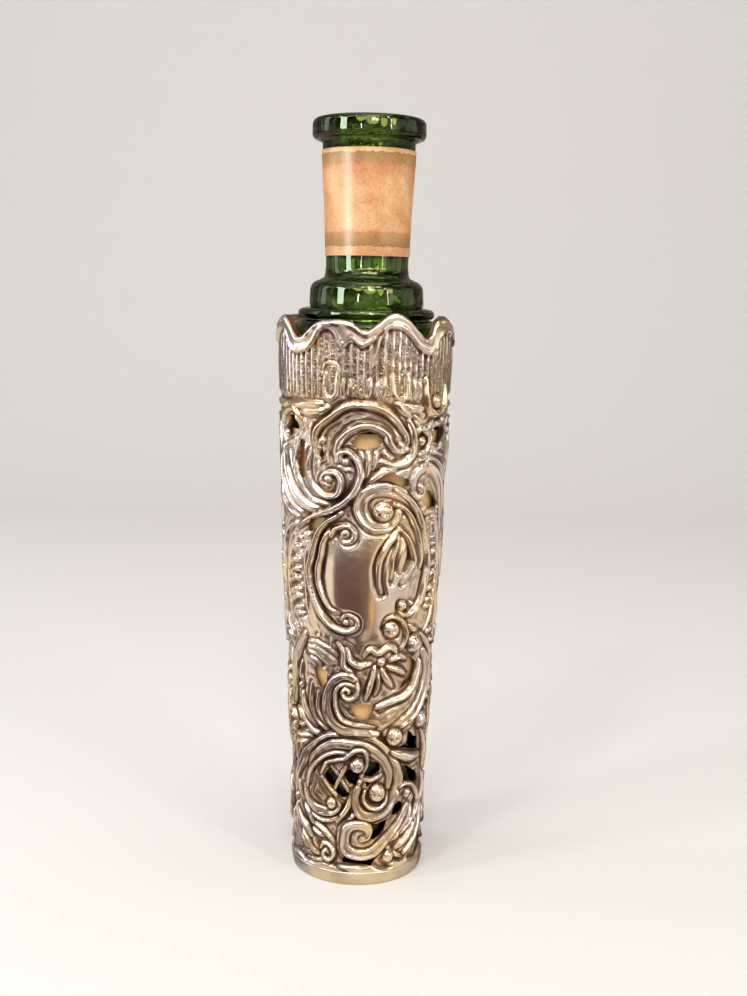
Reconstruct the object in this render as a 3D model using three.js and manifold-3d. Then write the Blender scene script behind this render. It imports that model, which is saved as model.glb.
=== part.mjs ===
// A scent bottle standing in a pierced and chased silver sleeve.
// Millimetres, +Z up. The origin is the centre of the flat base; the front of the sleeve faces -Y.
import * as THREE from "three";
import { mergeVertices } from "three/addons/utils/BufferGeometryUtils.js";
import Module from "manifold-3d";

const wasm = await Module();
wasm.setup();

// Sleeve, measured on the plain ground of the sheet that the relief rises from
const sleeveBaseRadius = 14.1;
const sleeveLowBulge = 0.0439024;
const sleeveLowHeight = 20;
const sleeveHighBulge = 0.4756098;
const sleeveHighHeight = 80;
const sleeveRimRadius = 18.75;
const sleeveHeight = 123;
const sheetThickness = 0.6;
const fitGap = 0.3;

// Base collar and disc
const collarHeight = 3.2;
const collarThickness = 0.6;
const collarFootThickness = 0.25;
const discThickness = 0.7;

// Reeded band under the rim
const bandHeight = 10.4;
const bandTopDrop = 4.6;
const reedPitch = 2.36;
const reedWidth = 1.3;
const reedRise = 0.65;
const borderWidth = 0.95;
const borderRise = 0.75;
const borderLap = 0.7;
const borderEdgeRise = 0.3;
const borderLip = 0.4;
const borderInset = 0.5;
const borderColumns = 44;
const sheetTop = 117.6;

// Chased relief
const ribRise = 1.1;
const scrollRise = 1.15;
const beadRise = 1.15;
const leafEdgeRise = 0.6;
const footLineHalfWidth = 0.5;
const footLineRise = 0.8;
const cartoucheRise = 1.1;
const reliefSink = 0.28;
const scrollStep = 4.6;

// Bottle
const bottleClearance = 1.1;
const glassThickness = 2;
const glassFloor = 3.2;
const footRounding = 1.6;
const shoulderDrop = 1.8;
const shoulderRise = 3;
const flangeInset = 2;
const flangeHeight = 2.6;
const bulbRadius = 12.3;
const bulbHeight = 6.6;
const neckRadius = 8.9;
const neckFlare = 1.1;
const neckHeight = 28.5;
const lipRadius = 12.1;
const lipHeight = 4.4;
const boreRadius = 6;

// Paper labels
const paperThickness = 0.2;
const neckLabelHeight = 22;
const neckLabelTopDrop = 2.2;
const bodyLabelFoot = 36;
const bodyLabelHeight = 65;

// Facets
const roundSegments = 32;
const sheetColumns = 24;

const radians = THREE.MathUtils.degToRad;

// A straight taper from base to rim, which the sheet's side bulges a little outside of
const straightTaper = (z) => THREE.MathUtils.lerp(sleeveBaseRadius, sleeveRimRadius, z / sleeveHeight);

// The sheet's outer ground: heights, and the radius at each
const groundProfile = [
  [0, sleeveBaseRadius],
  [sleeveLowHeight, straightTaper(sleeveLowHeight) + sleeveLowBulge],
  [sleeveHighHeight, straightTaper(sleeveHighHeight) + sleeveHighBulge],
  [sleeveHeight, sleeveRimRadius],
];

function groundRadius(z) {
  const above = groundProfile.findIndex(([height]) => height >= z);
  const next = above < 1 ? (above === 0 ? 1 : groundProfile.length - 1) : above;
  const [[lowZ, lowR], [highZ, highR]] = [groundProfile[next - 1], groundProfile[next]];
  return THREE.MathUtils.lerp(lowR, highR, (z - lowZ) / (highZ - lowZ));
}

// The ornament is drawn flat, as the half sheet lies before it is bent: u runs round the sleeve
// from seam to seam, v up from the base. The drawing is 52 wide and 123 high, and is stretched
// to whatever sleeve the sizes above give.
const drawingWidth = 52;
const drawingHeight = 123;

// Places a point of the drawing on the sleeve, at a given rise above the ground
function onSleeve(u, v, rise) {
  const z = (v * sleeveHeight) / drawingHeight;
  const angle = (u / drawingWidth) * Math.PI;
  const r = groundRadius(z) + rise;
  return new THREE.Vector3(r * Math.sin(angle), -r * Math.cos(angle), z);
}

// The scalloped rim of the half sheet, drawn as crests and dips
const rimCurve = new THREE.CatmullRomCurve3(
  [
    [-drawingWidth / 2, 120.4], [-22.6, 123.4], [-18.6, 124.4], [-16.2, 122.6], [-13.8, 120.6],
    [-11.2, 121.8], [-8.6, 123.9], [-5.6, 124.4], [-2.8, 124.0], [0, 122.3],
    [2.6, 123.8], [6, 125.8], [9.2, 123.9], [12.3, 120.9], [14.4, 123.0],
    [17, 125], [21, 123.6], [drawingWidth / 2, 120.4],
  ].map(([u, v]) => new THREE.Vector3(u, v, 0)),
);
const rimSamples = rimCurve.getPoints(240);

function rimAt(around) {
  const u = THREE.MathUtils.euclideanModulo(around + drawingWidth / 2, drawingWidth) - drawingWidth / 2;
  const next = Math.max(1, rimSamples.findIndex((p) => p.x >= u));
  const [a, b] = [rimSamples[next - 1], rimSamples[next]];
  return THREE.MathUtils.lerp(a.y, b.y, (u - a.x) / (b.x - a.x));
}

// Cross sections of a chased line: offsets across it, and rises, both as shares
const ribSection = [[-1, 0], [0, 1], [1, 0]];
const scrollSection = [[-1, 0], [-0.6, 0.92], [0.6, 0.92], [1, 0]];

// Broad rounded scrolls: half width, then the line that they follow
const scrolls = {
  volute: [1.35, [[5.8, 85.2], [5.8, 83], [4.2, 81.4], [1.7, 81.8], [0, 83.9], [-0.2, 86.4], [0.9, 88.7],
    [3.2, 89.7], [6.1, 89.2], [9.5, 87.3], [12.3, 83.7], [14.2, 79.6], [15.1, 75.6], [15.3, 71.6],
    [14.7, 67.6], [13, 63.8], [10.8, 61.9], [8.6, 62.9]]],
  leftFrame: [1.75, [[-4, 83], [-6.8, 81.3], [-8.8, 78.2], [-9.8, 74.5], [-10.3, 70.6], [-9.7, 66.6],
    [-8, 63.2], [-5.6, 60.4], [-2.9, 59]]],
  leftHook: [1.35, [[-13.8, 56], [-16.9, 53.4], [-19, 49.4], [-19.7, 45], [-18.8, 40.8], [-16.4, 38],
    [-13.6, 37.6]]],
  rightBand: [1.2, [[6.6, 35.4], [10.4, 36.7], [13.9, 38.6], [16.8, 41.8], [18.7, 45.1], [18.9, 48.9],
    [16.9, 52.6]]],
  wreath: [1.6, [[-18.2, 18.8], [-17.7, 22.2], [-15.6, 25.6], [-12.6, 29], [-9.4, 31.9], [-6.1, 33.4],
    [-2.6, 34.2], [1.3, 33.7], [4.6, 32], [7.4, 29.3], [9.1, 26.2], [9.4, 23.2], [8.6, 20.2],
    [6.9, 17.8], [4.4, 16.4], [1.9, 16.7], [0.4, 18.4]]],
  bridge: [1.5, [[8.7, 30.6], [11.3, 29.6], [14.2, 28.4], [17.9, 28.6], [19.4, 27], [20.8, 23.6]]],
  seamMiddle: [1.4, [[25.2, 91], [23.9, 82], [24.2, 75], [26.2, 69], [28.6, 64], [29.4, 58.6],
    [27.8, 54], [24.8, 53.2]]],
  seamLower: [1.3, [[23.6, 27.6], [26.4, 29.4], [28, 33], [28, 37.6], [26.2, 41.6], [23.6, 44.6]]],
};

// Narrower scrolls, ribs and leaf stems
const ribs = {
  arch: [1.1, [[-9, 97.6], [-9.8, 99.7], [-8.5, 102.6], [-5.9, 105], [-3.1, 106.7], [0.1, 107.3],
    [3.2, 106.6], [5.7, 104.8], [7.4, 102.5], [8.7, 100.2], [8.3, 98.2]]],
  archInner: [0.9, [[-5, 96.6], [-4.7, 99], [-3.5, 101.2], [-1.6, 102.6], [0.6, 103], [2.9, 102.4],
    [4.6, 101], [6.2, 98.4]]],
  stem: [0.95, [[-3.4, 94.9], [-4.6, 96.2], [-2.9, 97.4], [-1.3, 96], [-0.5, 93.5], [-0.9, 90.7],
    [-2.1, 87.9], [-4.6, 86], [-8.2, 84], [-12.4, 81.8], [-16.6, 78.4]]],
  bowl: [0.9, [[-11.1, 97.4], [-11.4, 93.1], [-10.4, 90], [-7.7, 88], [-5, 88.6], [-4.4, 91]]],
  wing: [1.3, [[-20.4, 99.8], [-21, 96.4], [-20.2, 92.4], [-18.1, 88.9], [-14.8, 86.4], [-10.2, 84.9]]],
  curlUnder: [0.9, [[3.6, 95.2], [8, 95.2], [10.5, 99.2], [9.4, 103.2]]],
  sideHook: [1, [[13.6, 88.4], [12.3, 87.5], [10.9, 88.6], [10.8, 91], [12.1, 93.1], [14.4, 93.6],
    [17, 92.3], [19.6, 89.6], [21.2, 86], [21.9, 81.6], [21.6, 77]]],
  leaf: [1.3, [[9.8, 80.2], [8, 76.8], [6.8, 72.8], [6.4, 68.4]]],
  midVolute: [1.05, [[-0.6, 47.6], [-3.4, 48.2], [-5.8, 46.7], [-7.2, 44.2], [-7.5, 41],
    [-6.4, 38.2], [-3.8, 36.6], [0, 36.3], [4.5, 35.9]]],
  rightLeaf: [1, [[4.3, 41.6], [7.4, 42.3], [10.9, 43.4], [13.3, 45.2], [14.8, 47.7], [15.6, 50.6]]],
  petal: [1, [[5, 50.2], [7.5, 45.9]]],
  cup: [0.9, [[13.1, 112], [14, 106.3], [16.2, 104.9], [18.8, 105.6], [20, 111]]],
  shoulderLeaf: [0.9, [[12.2, 37.6], [18, 36.6], [22.8, 31.4]]],
  leftCurl: [0.95, [[-14.4, 20.6], [-13.6, 18.4], [-11.6, 17], [-8.7, 16.4], [-5.4, 17.4]]],
  hook: [1.05, [[2.8, 13.6], [0.4, 14.1], [-2, 13.2], [-3, 10.8], [-2.8, 8.4], [-1.1, 7.2], [1.7, 6.9],
    [4.6, 7.9], [7.6, 10], [9.9, 12.4], [12.4, 14.8], [14.4, 16.8]]],
  sideCurl: [0.95, [[11.2, 21.6], [13.2, 22.3], [16.2, 21], [18.4, 17.8], [17.8, 14.8], [15, 12.8]]],
  footLeaf: [1.1, [[-18.8, 16.6], [-17.9, 14.5], [-16.2, 12.6], [-14, 11], [-12.4, 9.6]]],
  footCurl: [0.9, [[-20, 13.6], [-18.2, 9.4], [-15.4, 6.2]]],
  footLeafRight: [0.9, [[18.2, 16.4], [14.4, 9.8], [11.4, 7.4]]],
  lattice: [0.6, [[-6.6, 27.8], [-2.9, 23.2], [-1.2, 20.8]]],
  seamTop: [1.1, [[25.2, 90.4], [27.2, 93.4], [27.8, 97.6], [26.8, 101.6], [24.2, 103.4]]],
  seamFoot: [1.1, [[24.6, 21.4], [27.4, 20.2], [29.2, 17], [28.8, 13], [26.4, 10.2], [23.9, 10.8]]],
};

// Ruffled leaf edges, as low broad strips
const leafEdges = {
  leftOfFrame: [1.9, [[-15, 79.4], [-16, 74], [-16.3, 69], [-15.8, 64], [-14.8, 59.6]]],
  rightOfFrame: [1.4, [[18.2, 84], [19.3, 78], [19.6, 72], [19, 66], [17.6, 61]]],
  seamLeft: [1.5, [[-24, 79], [-24.8, 72], [-24.8, 66], [-24, 59]]],
  leftMiddle: [1.6, [[-18.6, 58.4], [-20.8, 53], [-22.2, 46], [-22, 38.6]]],
  rightMiddle: [1.2, [[19, 57], [20.4, 51], [20.8, 45], [20.6, 39.4]]],
};

// Beads: centre and radius
const beads = [
  [-6.9, 91.4, 0.9], [4.2, 84.6, 1.2], [-3.2, 79.9, 1], [16.6, 107.6, 1.4], [9.2, 64, 1.1],
  [6.9, 58.8, 1.6], [8.9, 34.1, 1.7], [13.3, 54.6, 1.7], [-0.1, 27.9, 1.3], [5, 21.4, 1.75],
  [14.1, 19.9, 1.2], [0.5, 11, 1.3], [8.5, 6, 1.5], [14.4, 37.6, 1.6], [-15.1, 36.5, 1.2], [-8, 7, 1.9],
];

// Domes: centre, half width, half height and rise
const domes = [
  [1.9, 70.6, 10.4, 14.4, cartoucheRise],
  [-19.4, 46.4, 4.2, 6, 1],
  [3, 53.6, 4.2, 1.6, 0.9],
  [-8.6, 52.6, 3.2, 2, 0.8],
];

// Fine lines under the foot of the reeded band
const bandFootLines = [
  [[-25, 107.4], [-17, 107.4], [-9, 107.2]],
  [[9.6, 107.2], [13, 107.1]],
];

// Pierced openings between the scrolls
const openings = {
  underArch: [[-2.2, 99.8], [-0.6, 101.3], [2.2, 101.3], [3.9, 100], [1.4, 98.2], [-1, 98.3]],
  upperLeft: [[-17.9, 99.3], [-18, 101.6], [-15.8, 104.5], [-13.5, 101.5], [-16.2, 100.3]],
  bowlSide: [[-15.2, 97], [-14, 98.6], [-12.7, 98.6], [-12.6, 92.4], [-14, 91.9], [-15.3, 94]],
  diagonal: [[2.2, 94.4], [3.6, 94.2], [5.4, 92.4], [9.2, 90.9], [7.8, 89.8], [5, 90.6]],
  shell: [[10.9, 98.2], [10.9, 100], [12.3, 101.2], [14.4, 100], [14.1, 98], [12, 97]],
  hookEye: [[13.4, 87], [14.6, 88], [16.2, 87.4], [18.8, 83.8], [15, 85], [13.8, 85.8]],
  leafGap: [[-11.3, 49.4], [-10, 49.8], [-8.6, 47.4], [-9.3, 44.6], [-11.6, 47.4]],
  flowerGap: [[11.6, 52.9], [15.6, 50.2], [15.4, 47.6], [13.2, 46.4], [12, 46.8]],
  underVolute: [[-1.8, 42], [0, 42.8], [3, 41.6], [3, 39.2], [1.4, 38.2], [-0.8, 39.8]],
  lattice: [[-8.4, 25], [-7.2, 27.2], [-4.6, 28], [0.4, 25.4], [-0.6, 22.8], [-2.6, 20.6], [-5.4, 22]],
  wreathGap: [[1.4, 24.6], [3.2, 29], [5.3, 28.2], [4.2, 26], [3.4, 23.4], [1.8, 23.2]],
  besideBead: [[10.4, 31.4], [12.2, 31.6], [13.2, 34.8], [16.4, 32.6], [18.2, 29.2], [14.5, 30]],
  besideWreath: [[10.6, 27.4], [13.4, 26.8], [16.6, 24.9], [19.5, 19.6], [15, 23.4], [10.8, 23.4]],
  footGap: [[2.2, 14.6], [5, 14.7], [8.4, 15.1], [7.6, 12.8], [3.9, 10.4], [3.2, 11]],
  footSlot: [[-3.5, 5.4], [-3.4, 7.4], [1, 6.2], [6, 6.9], [3.8, 4.6]],
};

// A closed solid from points and triangles
function solid(points, triangles) {
  const geometry = new THREE.BufferGeometry();
  const coordinates = points.flatMap((p) => [p.x, p.y, p.z]);
  geometry.setAttribute("position", new THREE.Float32BufferAttribute(coordinates, 3));
  geometry.setIndex(triangles);
  return toManifold(geometry);
}

function toManifold(geometry) {
  const bare = geometry.clone();
  bare.deleteAttribute("normal");
  bare.deleteAttribute("uv");
  const merged = mergeVertices(bare, 1e-4);
  return new wasm.Manifold(
    new wasm.Mesh({
      numProp: 3,
      vertProperties: new Float32Array(merged.attributes.position.array),
      triVerts: new Uint32Array(merged.index.array),
    }),
  );
}

function toGeometry(manifold) {
  const mesh = manifold.getMesh();
  const geometry = new THREE.BufferGeometry();
  geometry.setAttribute("position", new THREE.BufferAttribute(mesh.vertProperties, 3));
  geometry.setIndex(new THREE.BufferAttribute(mesh.triVerts, 1));
  return geometry.toNonIndexed();
}

// Joins rings of points into one closed skin, with flat ends
function loft(rings) {
  const count = rings[0].length;
  const triangles = [];
  for (let i = 0; i + 1 < rings.length; i++) {
    for (let j = 0; j < count; j++) {
      const [a, b] = [i * count + j, i * count + ((j + 1) % count)];
      triangles.push(a, b, a + count, b, b + count, a + count);
    }
  }
  const last = (rings.length - 1) * count;
  for (let j = 1; j + 1 < count; j++) {
    triangles.push(0, j + 1, j, last, last + j, last + j + 1);
  }
  return solid(rings.flat(), triangles);
}

// A chased line: its section swept along the drawing and tapered at both ends
function chasedLine(section, halfWidth, rise, drawn) {
  const curve = new THREE.CatmullRomCurve3(drawn.map(([u, v]) => new THREE.Vector3(u, v, 0)));
  const steps = Math.max(2, Math.round(curve.getLength() / scrollStep));
  const rings = [];
  for (let i = 0; i <= steps; i++) {
    const t = i / steps;
    const at = curve.getPointAt(t);
    const along = curve.getTangentAt(t);
    const swell = 0.5 + 0.5 * Math.sin(Math.PI * t) ** 0.6;
    rings.push(
      section.map(([across, up]) => {
        const offset = across * halfWidth * swell;
        const lift = up ? up * rise * swell : -reliefSink;
        return onSleeve(at.x + along.y * offset, at.y - along.x * offset, lift);
      }),
    );
  }
  return loft(rings);
}

// A rounded form rising from the ground, from a sphere squashed on to the drawing
function raised(u, v, halfWidth, halfHeight, rise, around, down) {
  const ball = new THREE.SphereGeometry(1, around, down);
  ball.rotateX(Math.PI / 2);
  const position = ball.attributes.position;
  for (let i = 0; i < position.count; i++) {
    const up = position.getZ(i);
    const at = onSleeve(
      u + position.getX(i) * halfWidth,
      v + position.getY(i) * halfHeight,
      up > 1e-6 ? up * rise : -reliefSink,
    );
    position.setXYZ(i, at.x, at.y, at.z);
  }
  return toManifold(ball);
}

// A cutter through the sheet with a drawn outline
function piercing(outline) {
  const count = outline.length;
  const middle = outline.reduce(([su, sv], [u, v]) => [su + u / count, sv + v / count], [0, 0]);
  const depths = [-2 * sheetThickness, sheetThickness];
  const points = [
    ...depths.flatMap((rise) => outline.map(([u, v]) => onSleeve(u, v, rise))),
    ...depths.map((rise) => onSleeve(...middle, rise)),
  ];
  const triangles = [];
  for (let j = 0; j < count; j++) {
    const k = (j + 1) % count;
    triangles.push(j, j + count, k, k, j + count, k + count);
    triangles.push(2 * count, j, k, 2 * count + 1, k + count, j + count);
  }
  return solid(points, triangles);
}

// A skin closed round the whole sleeve, from its section at each drawn u
function hoop(columns, sectionAt) {
  const points = [];
  const triangles = [];
  for (let i = 0; i < columns; i++) {
    const section = sectionAt((2 * drawingWidth * i) / columns);
    points.push(...section);
    const around = section.length;
    const [here, next] = [around * i, (around * (i + 1)) % (around * columns)];
    for (let j = 0; j < around; j++) {
      const k = (j + 1) % around;
      triangles.push(here + j, next + j, here + k, here + k, next + j, next + k);
    }
  }
  return solid(points, triangles);
}

// The plain sheet, from the disc to just under the lowest part of the rim
function bentSheet() {
  const rows = [discThickness + fitGap, sleeveLowHeight, sleeveHighHeight, sheetTop];
  return hoop(sheetColumns, (u) => [
    ...rows.map((v) => onSleeve(u, v, 0)),
    ...rows.toReversed().map((v) => onSleeve(u, v, -sheetThickness)),
  ]);
}

// The wavy border that carries the rim
function border() {
  return hoop(borderColumns, (u) => [
    onSleeve(u, sheetTop - borderLap, borderEdgeRise),
    onSleeve(u, rimAt(u) - borderWidth, borderRise),
    onSleeve(u, rimAt(u), borderEdgeRise),
    onSleeve(u, rimAt(u) - borderLip, -borderInset),
    onSleeve(u, sheetTop - borderLap, -borderInset),
  ]);
}

// One vertical reed of the band under the rim
function reed(u) {
  const top = rimAt(u) - bandTopDrop;
  const foot = drawingHeight - bandTopDrop - bandHeight;
  const ring = (v) =>
    [[1, -reliefSink], [0, reedRise], [-1, -reliefSink]].map(([across, rise]) =>
      onSleeve(u + (across * reedWidth) / 2, v, rise),
    );
  return loft([ring(top), ring(foot)]);
}

// All the raised work of one half of the sleeve, its drawing shifted round by so much
function reliefOf(shift) {
  const moved = (line) => line.map(([u, v]) => [u + shift, v]);
  const reedCount = Math.round(drawingWidth / reedPitch);
  return [
    ...Object.values(scrolls).map(([w, line]) => chasedLine(scrollSection, w, scrollRise, moved(line))),
    ...Object.values(ribs).map(([w, line]) => chasedLine(ribSection, w, ribRise, moved(line))),
    ...beads.map(([u, v, r]) => raised(u + shift, v, r, r, beadRise, 6, 3)),
    ...domes.map(([u, v, a, b, rise]) => raised(u + shift, v, a, b, rise, 8, 4)),
    ...Object.values(leafEdges).map(([w, line]) => chasedLine(scrollSection, w, leafEdgeRise, moved(line))),
    ...Array.from({ length: reedCount }, (_, i) => reed(shift + (i * drawingWidth) / reedCount)),
    ...bandFootLines.map((line) => chasedLine(ribSection, footLineHalfWidth, footLineRise, moved(line))),
  ];
}

// The drawing runs twice round the sleeve, front and back
function caseBody() {
  const halves = [0, drawingWidth];
  const cutters = halves.flatMap((shift) =>
    Object.values(openings).map((outline) => piercing(outline.map(([u, v]) => [u + shift, v]))),
  );
  const pierced = wasm.Manifold.difference([bentSheet(), ...cutters]);
  return wasm.Manifold.union([pierced, border(), ...halves.flatMap(reliefOf)]);
}

const silver = new THREE.MeshStandardMaterial({ color: 0xd9d2c6, metalness: 1, roughness: 0.22 });
const plainSilver = new THREE.MeshStandardMaterial({ color: 0xcfc9bf, metalness: 1, roughness: 0.3 });
const glass = new THREE.MeshStandardMaterial({
  color: 0x1f5a26,
  metalness: 0,
  roughness: 0.05,
  transparent: true,
  opacity: 0.8,
});
const paper = new THREE.MeshStandardMaterial({ color: 0xcfa06a, metalness: 0, roughness: 0.65 });

const model = new THREE.Group();

function piece(name, geometry, material) {
  const mesh = new THREE.Mesh(geometry, material);
  mesh.name = name;
  model.add(mesh);
}

piece("case_body", toGeometry(caseBody()), silver);

function revolve(profile, segments = roundSegments) {
  const geometry = new THREE.LatheGeometry(profile.map(([r, z]) => new THREE.Vector2(r, z)), segments);
  geometry.rotateX(Math.PI / 2);
  return geometry;
}

// An arc of a profile, from one angle to another
function arc(cr, cz, radius, fromDegrees, toDegrees, steps) {
  return Array.from({ length: steps + 1 }, (_, i) => {
    const angle = radians(THREE.MathUtils.lerp(fromDegrees, toDegrees, i / steps));
    return [cr + radius * Math.cos(angle), cz + radius * Math.sin(angle)];
  });
}

const closed = (profile) => [...profile, profile[0]];

// The plain collar round the foot of the sleeve, with a rounded upper edge
const collarInner = groundRadius(collarHeight) + fitGap;
const discRadius = collarInner - fitGap;
piece("base_collar", revolve(closed([
  [collarInner, 0],
  [collarInner + collarFootThickness, 0],
  [collarInner + collarThickness, collarHeight * 0.8],
  [collarInner + collarThickness * 0.4, collarHeight],
  [collarInner, collarHeight],
])), plainSilver);
piece("base_disc", revolve([
  [0, 0],
  [discRadius, 0],
  [discRadius, discThickness],
  [0, discThickness],
]), plainSilver);

// The bottle stands on the disc; its side is straight and follows the sleeve's taper from foot to rim
const bottleFoot = discThickness + fitGap;
const bodyRadius = (z) => straightTaper(z) - sheetThickness - bottleClearance;
const bodyTop = sleeveHeight - shoulderDrop;
const flangeFoot = bodyTop + shoulderRise;
const flangeRadius = bodyRadius(bodyTop) - flangeInset;
const flangeTop = flangeFoot + flangeHeight;
const bulbTop = flangeTop + bulbHeight;
const lipFoot = bulbTop + neckHeight;
const lipTop = lipFoot + lipHeight;
const neckAt = (z) => neckRadius + neckFlare * ((z - bulbTop) / neckHeight) ** 1.4;

const outside = [
  [0, bottleFoot],
  ...arc(bodyRadius(bottleFoot) - footRounding, bottleFoot + footRounding, footRounding, -90, 0, 2),
  [bodyRadius(bodyTop), bodyTop],
  ...arc(bodyRadius(bodyTop) - shoulderRise, bodyTop, shoulderRise, 25, 65, 2),
  [flangeRadius - 0.6, flangeFoot],
  ...arc(flangeRadius - flangeHeight / 2, flangeFoot + flangeHeight / 2, flangeHeight / 2, -50, 80, 3),
  [bulbRadius - 0.6, flangeTop],
  ...arc(bulbRadius - bulbHeight / 2, flangeTop + bulbHeight / 2, bulbHeight / 2, -35, 78, 3),
  [neckAt(bulbTop) + 0.2, bulbTop],
  ...[0.4, 0.75, 1].map((share) => bulbTop + share * neckHeight).map((z) => [neckAt(z), z]),
  ...arc(lipRadius - 1.2, lipFoot + 1.2, 1.2, -70, 0, 2),
  ...arc(lipRadius - 1, lipTop - 1, 1, 0, 90, 2),
  [boreRadius + 0.8, lipTop],
];
const inside = [
  [boreRadius, lipTop - 0.8],
  [boreRadius, bulbTop - 1],
  [bulbRadius - 2 * glassThickness, flangeTop + 1],
  [flangeRadius - 1.6 * glassThickness, flangeFoot - 1],
  [bodyRadius(bodyTop) - glassThickness, bodyTop - 2 * glassThickness],
  [bodyRadius(bottleFoot) - glassThickness, bottleFoot + glassFloor + footRounding],
  [bodyRadius(bottleFoot) - glassThickness - footRounding, bottleFoot + glassFloor],
  [0, bottleFoot + glassFloor],
];
piece("bottle", revolve([...outside, ...inside]), glass);

// A paper label wrapped round a turned surface, between two heights
function wrappedLabel(radiusAt, foot, height, rows) {
  const heights = Array.from({ length: rows + 1 }, (_, i) => foot + (height * i) / rows);
  const face = (lift) => heights.map((z) => [radiusAt(z) + lift, z]);
  return revolve(closed([...face(fitGap + paperThickness), ...face(fitGap).reverse()]));
}

const neckLabelFoot = lipFoot - neckLabelTopDrop - neckLabelHeight;
piece("neck_label", wrappedLabel(neckAt, neckLabelFoot, neckLabelHeight, 2), paper);
piece("body_label", wrappedLabel(bodyRadius, bodyLabelFoot, bodyLabelHeight, 1), paper);

export default model;
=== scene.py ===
import math

import bpy
import numpy as np
from mathutils import Matrix, Vector


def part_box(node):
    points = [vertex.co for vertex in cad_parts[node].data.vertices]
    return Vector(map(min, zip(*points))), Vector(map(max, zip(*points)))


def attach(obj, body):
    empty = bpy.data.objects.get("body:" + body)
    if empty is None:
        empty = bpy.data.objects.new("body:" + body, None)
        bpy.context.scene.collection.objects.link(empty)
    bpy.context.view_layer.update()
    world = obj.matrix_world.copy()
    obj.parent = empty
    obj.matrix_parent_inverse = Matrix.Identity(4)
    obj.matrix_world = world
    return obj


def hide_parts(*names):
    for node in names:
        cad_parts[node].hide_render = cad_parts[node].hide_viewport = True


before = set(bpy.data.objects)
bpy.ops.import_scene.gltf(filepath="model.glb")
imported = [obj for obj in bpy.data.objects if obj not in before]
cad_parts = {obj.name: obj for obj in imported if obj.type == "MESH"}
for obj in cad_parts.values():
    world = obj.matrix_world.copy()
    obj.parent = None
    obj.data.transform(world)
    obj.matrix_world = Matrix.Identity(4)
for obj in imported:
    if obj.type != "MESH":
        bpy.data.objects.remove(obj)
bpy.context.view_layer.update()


# Pierced sleeve: the drawing
# One thin sheet of silver, struck and chased with scrolls, pierced between them, bent round and soldered.
# Drawn flat in mm, u from the front's middle and v up: a line is its half width, its rise, then its points.
HALF_WIDTH = 26
PERIOD = 2 * HALF_WIDTH
# Scrolls with a hollow between two lips
hollow_scrolls = [
    # Foot of the sleeve
    (0.8, 1.1, (-14.4, 4.1), (-10.6, 3.9), (-7.5, 4.8), (-5.9, 6.7), (-6.3, 8.8), (-8.4, 9.5), (-9.8, 8.1)),
    (0.75, 1.1, (10.8, 22.8), (13.6, 22.1), (15.7, 20.8), (16.3, 18.9), (14.9, 17.6), (13.2, 18.2)),
    # Side of the sleeve, between front and back
    (1.35, 1.3, (25.4, 88), (23.9, 82), (24.2, 75), (26.2, 69), (28.6, 64), (29.4, 58.6), (27.8, 54),
        (24.8, 53.2), (23.4, 55.8), (25, 57.8)),
    (1.3, 1.3, (23.6, 27.6), (26.4, 29.4), (28, 33), (28, 37.6), (26.2, 41.6), (23.6, 44.6), (22.4, 48.4)),
    (1.2, 1.2, (25.2, 90.4), (27.2, 93.4), (27.8, 97.6), (26.8, 101.6), (24.2, 103.4), (22.4, 101.8),
        (23, 99.6)),
]
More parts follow.
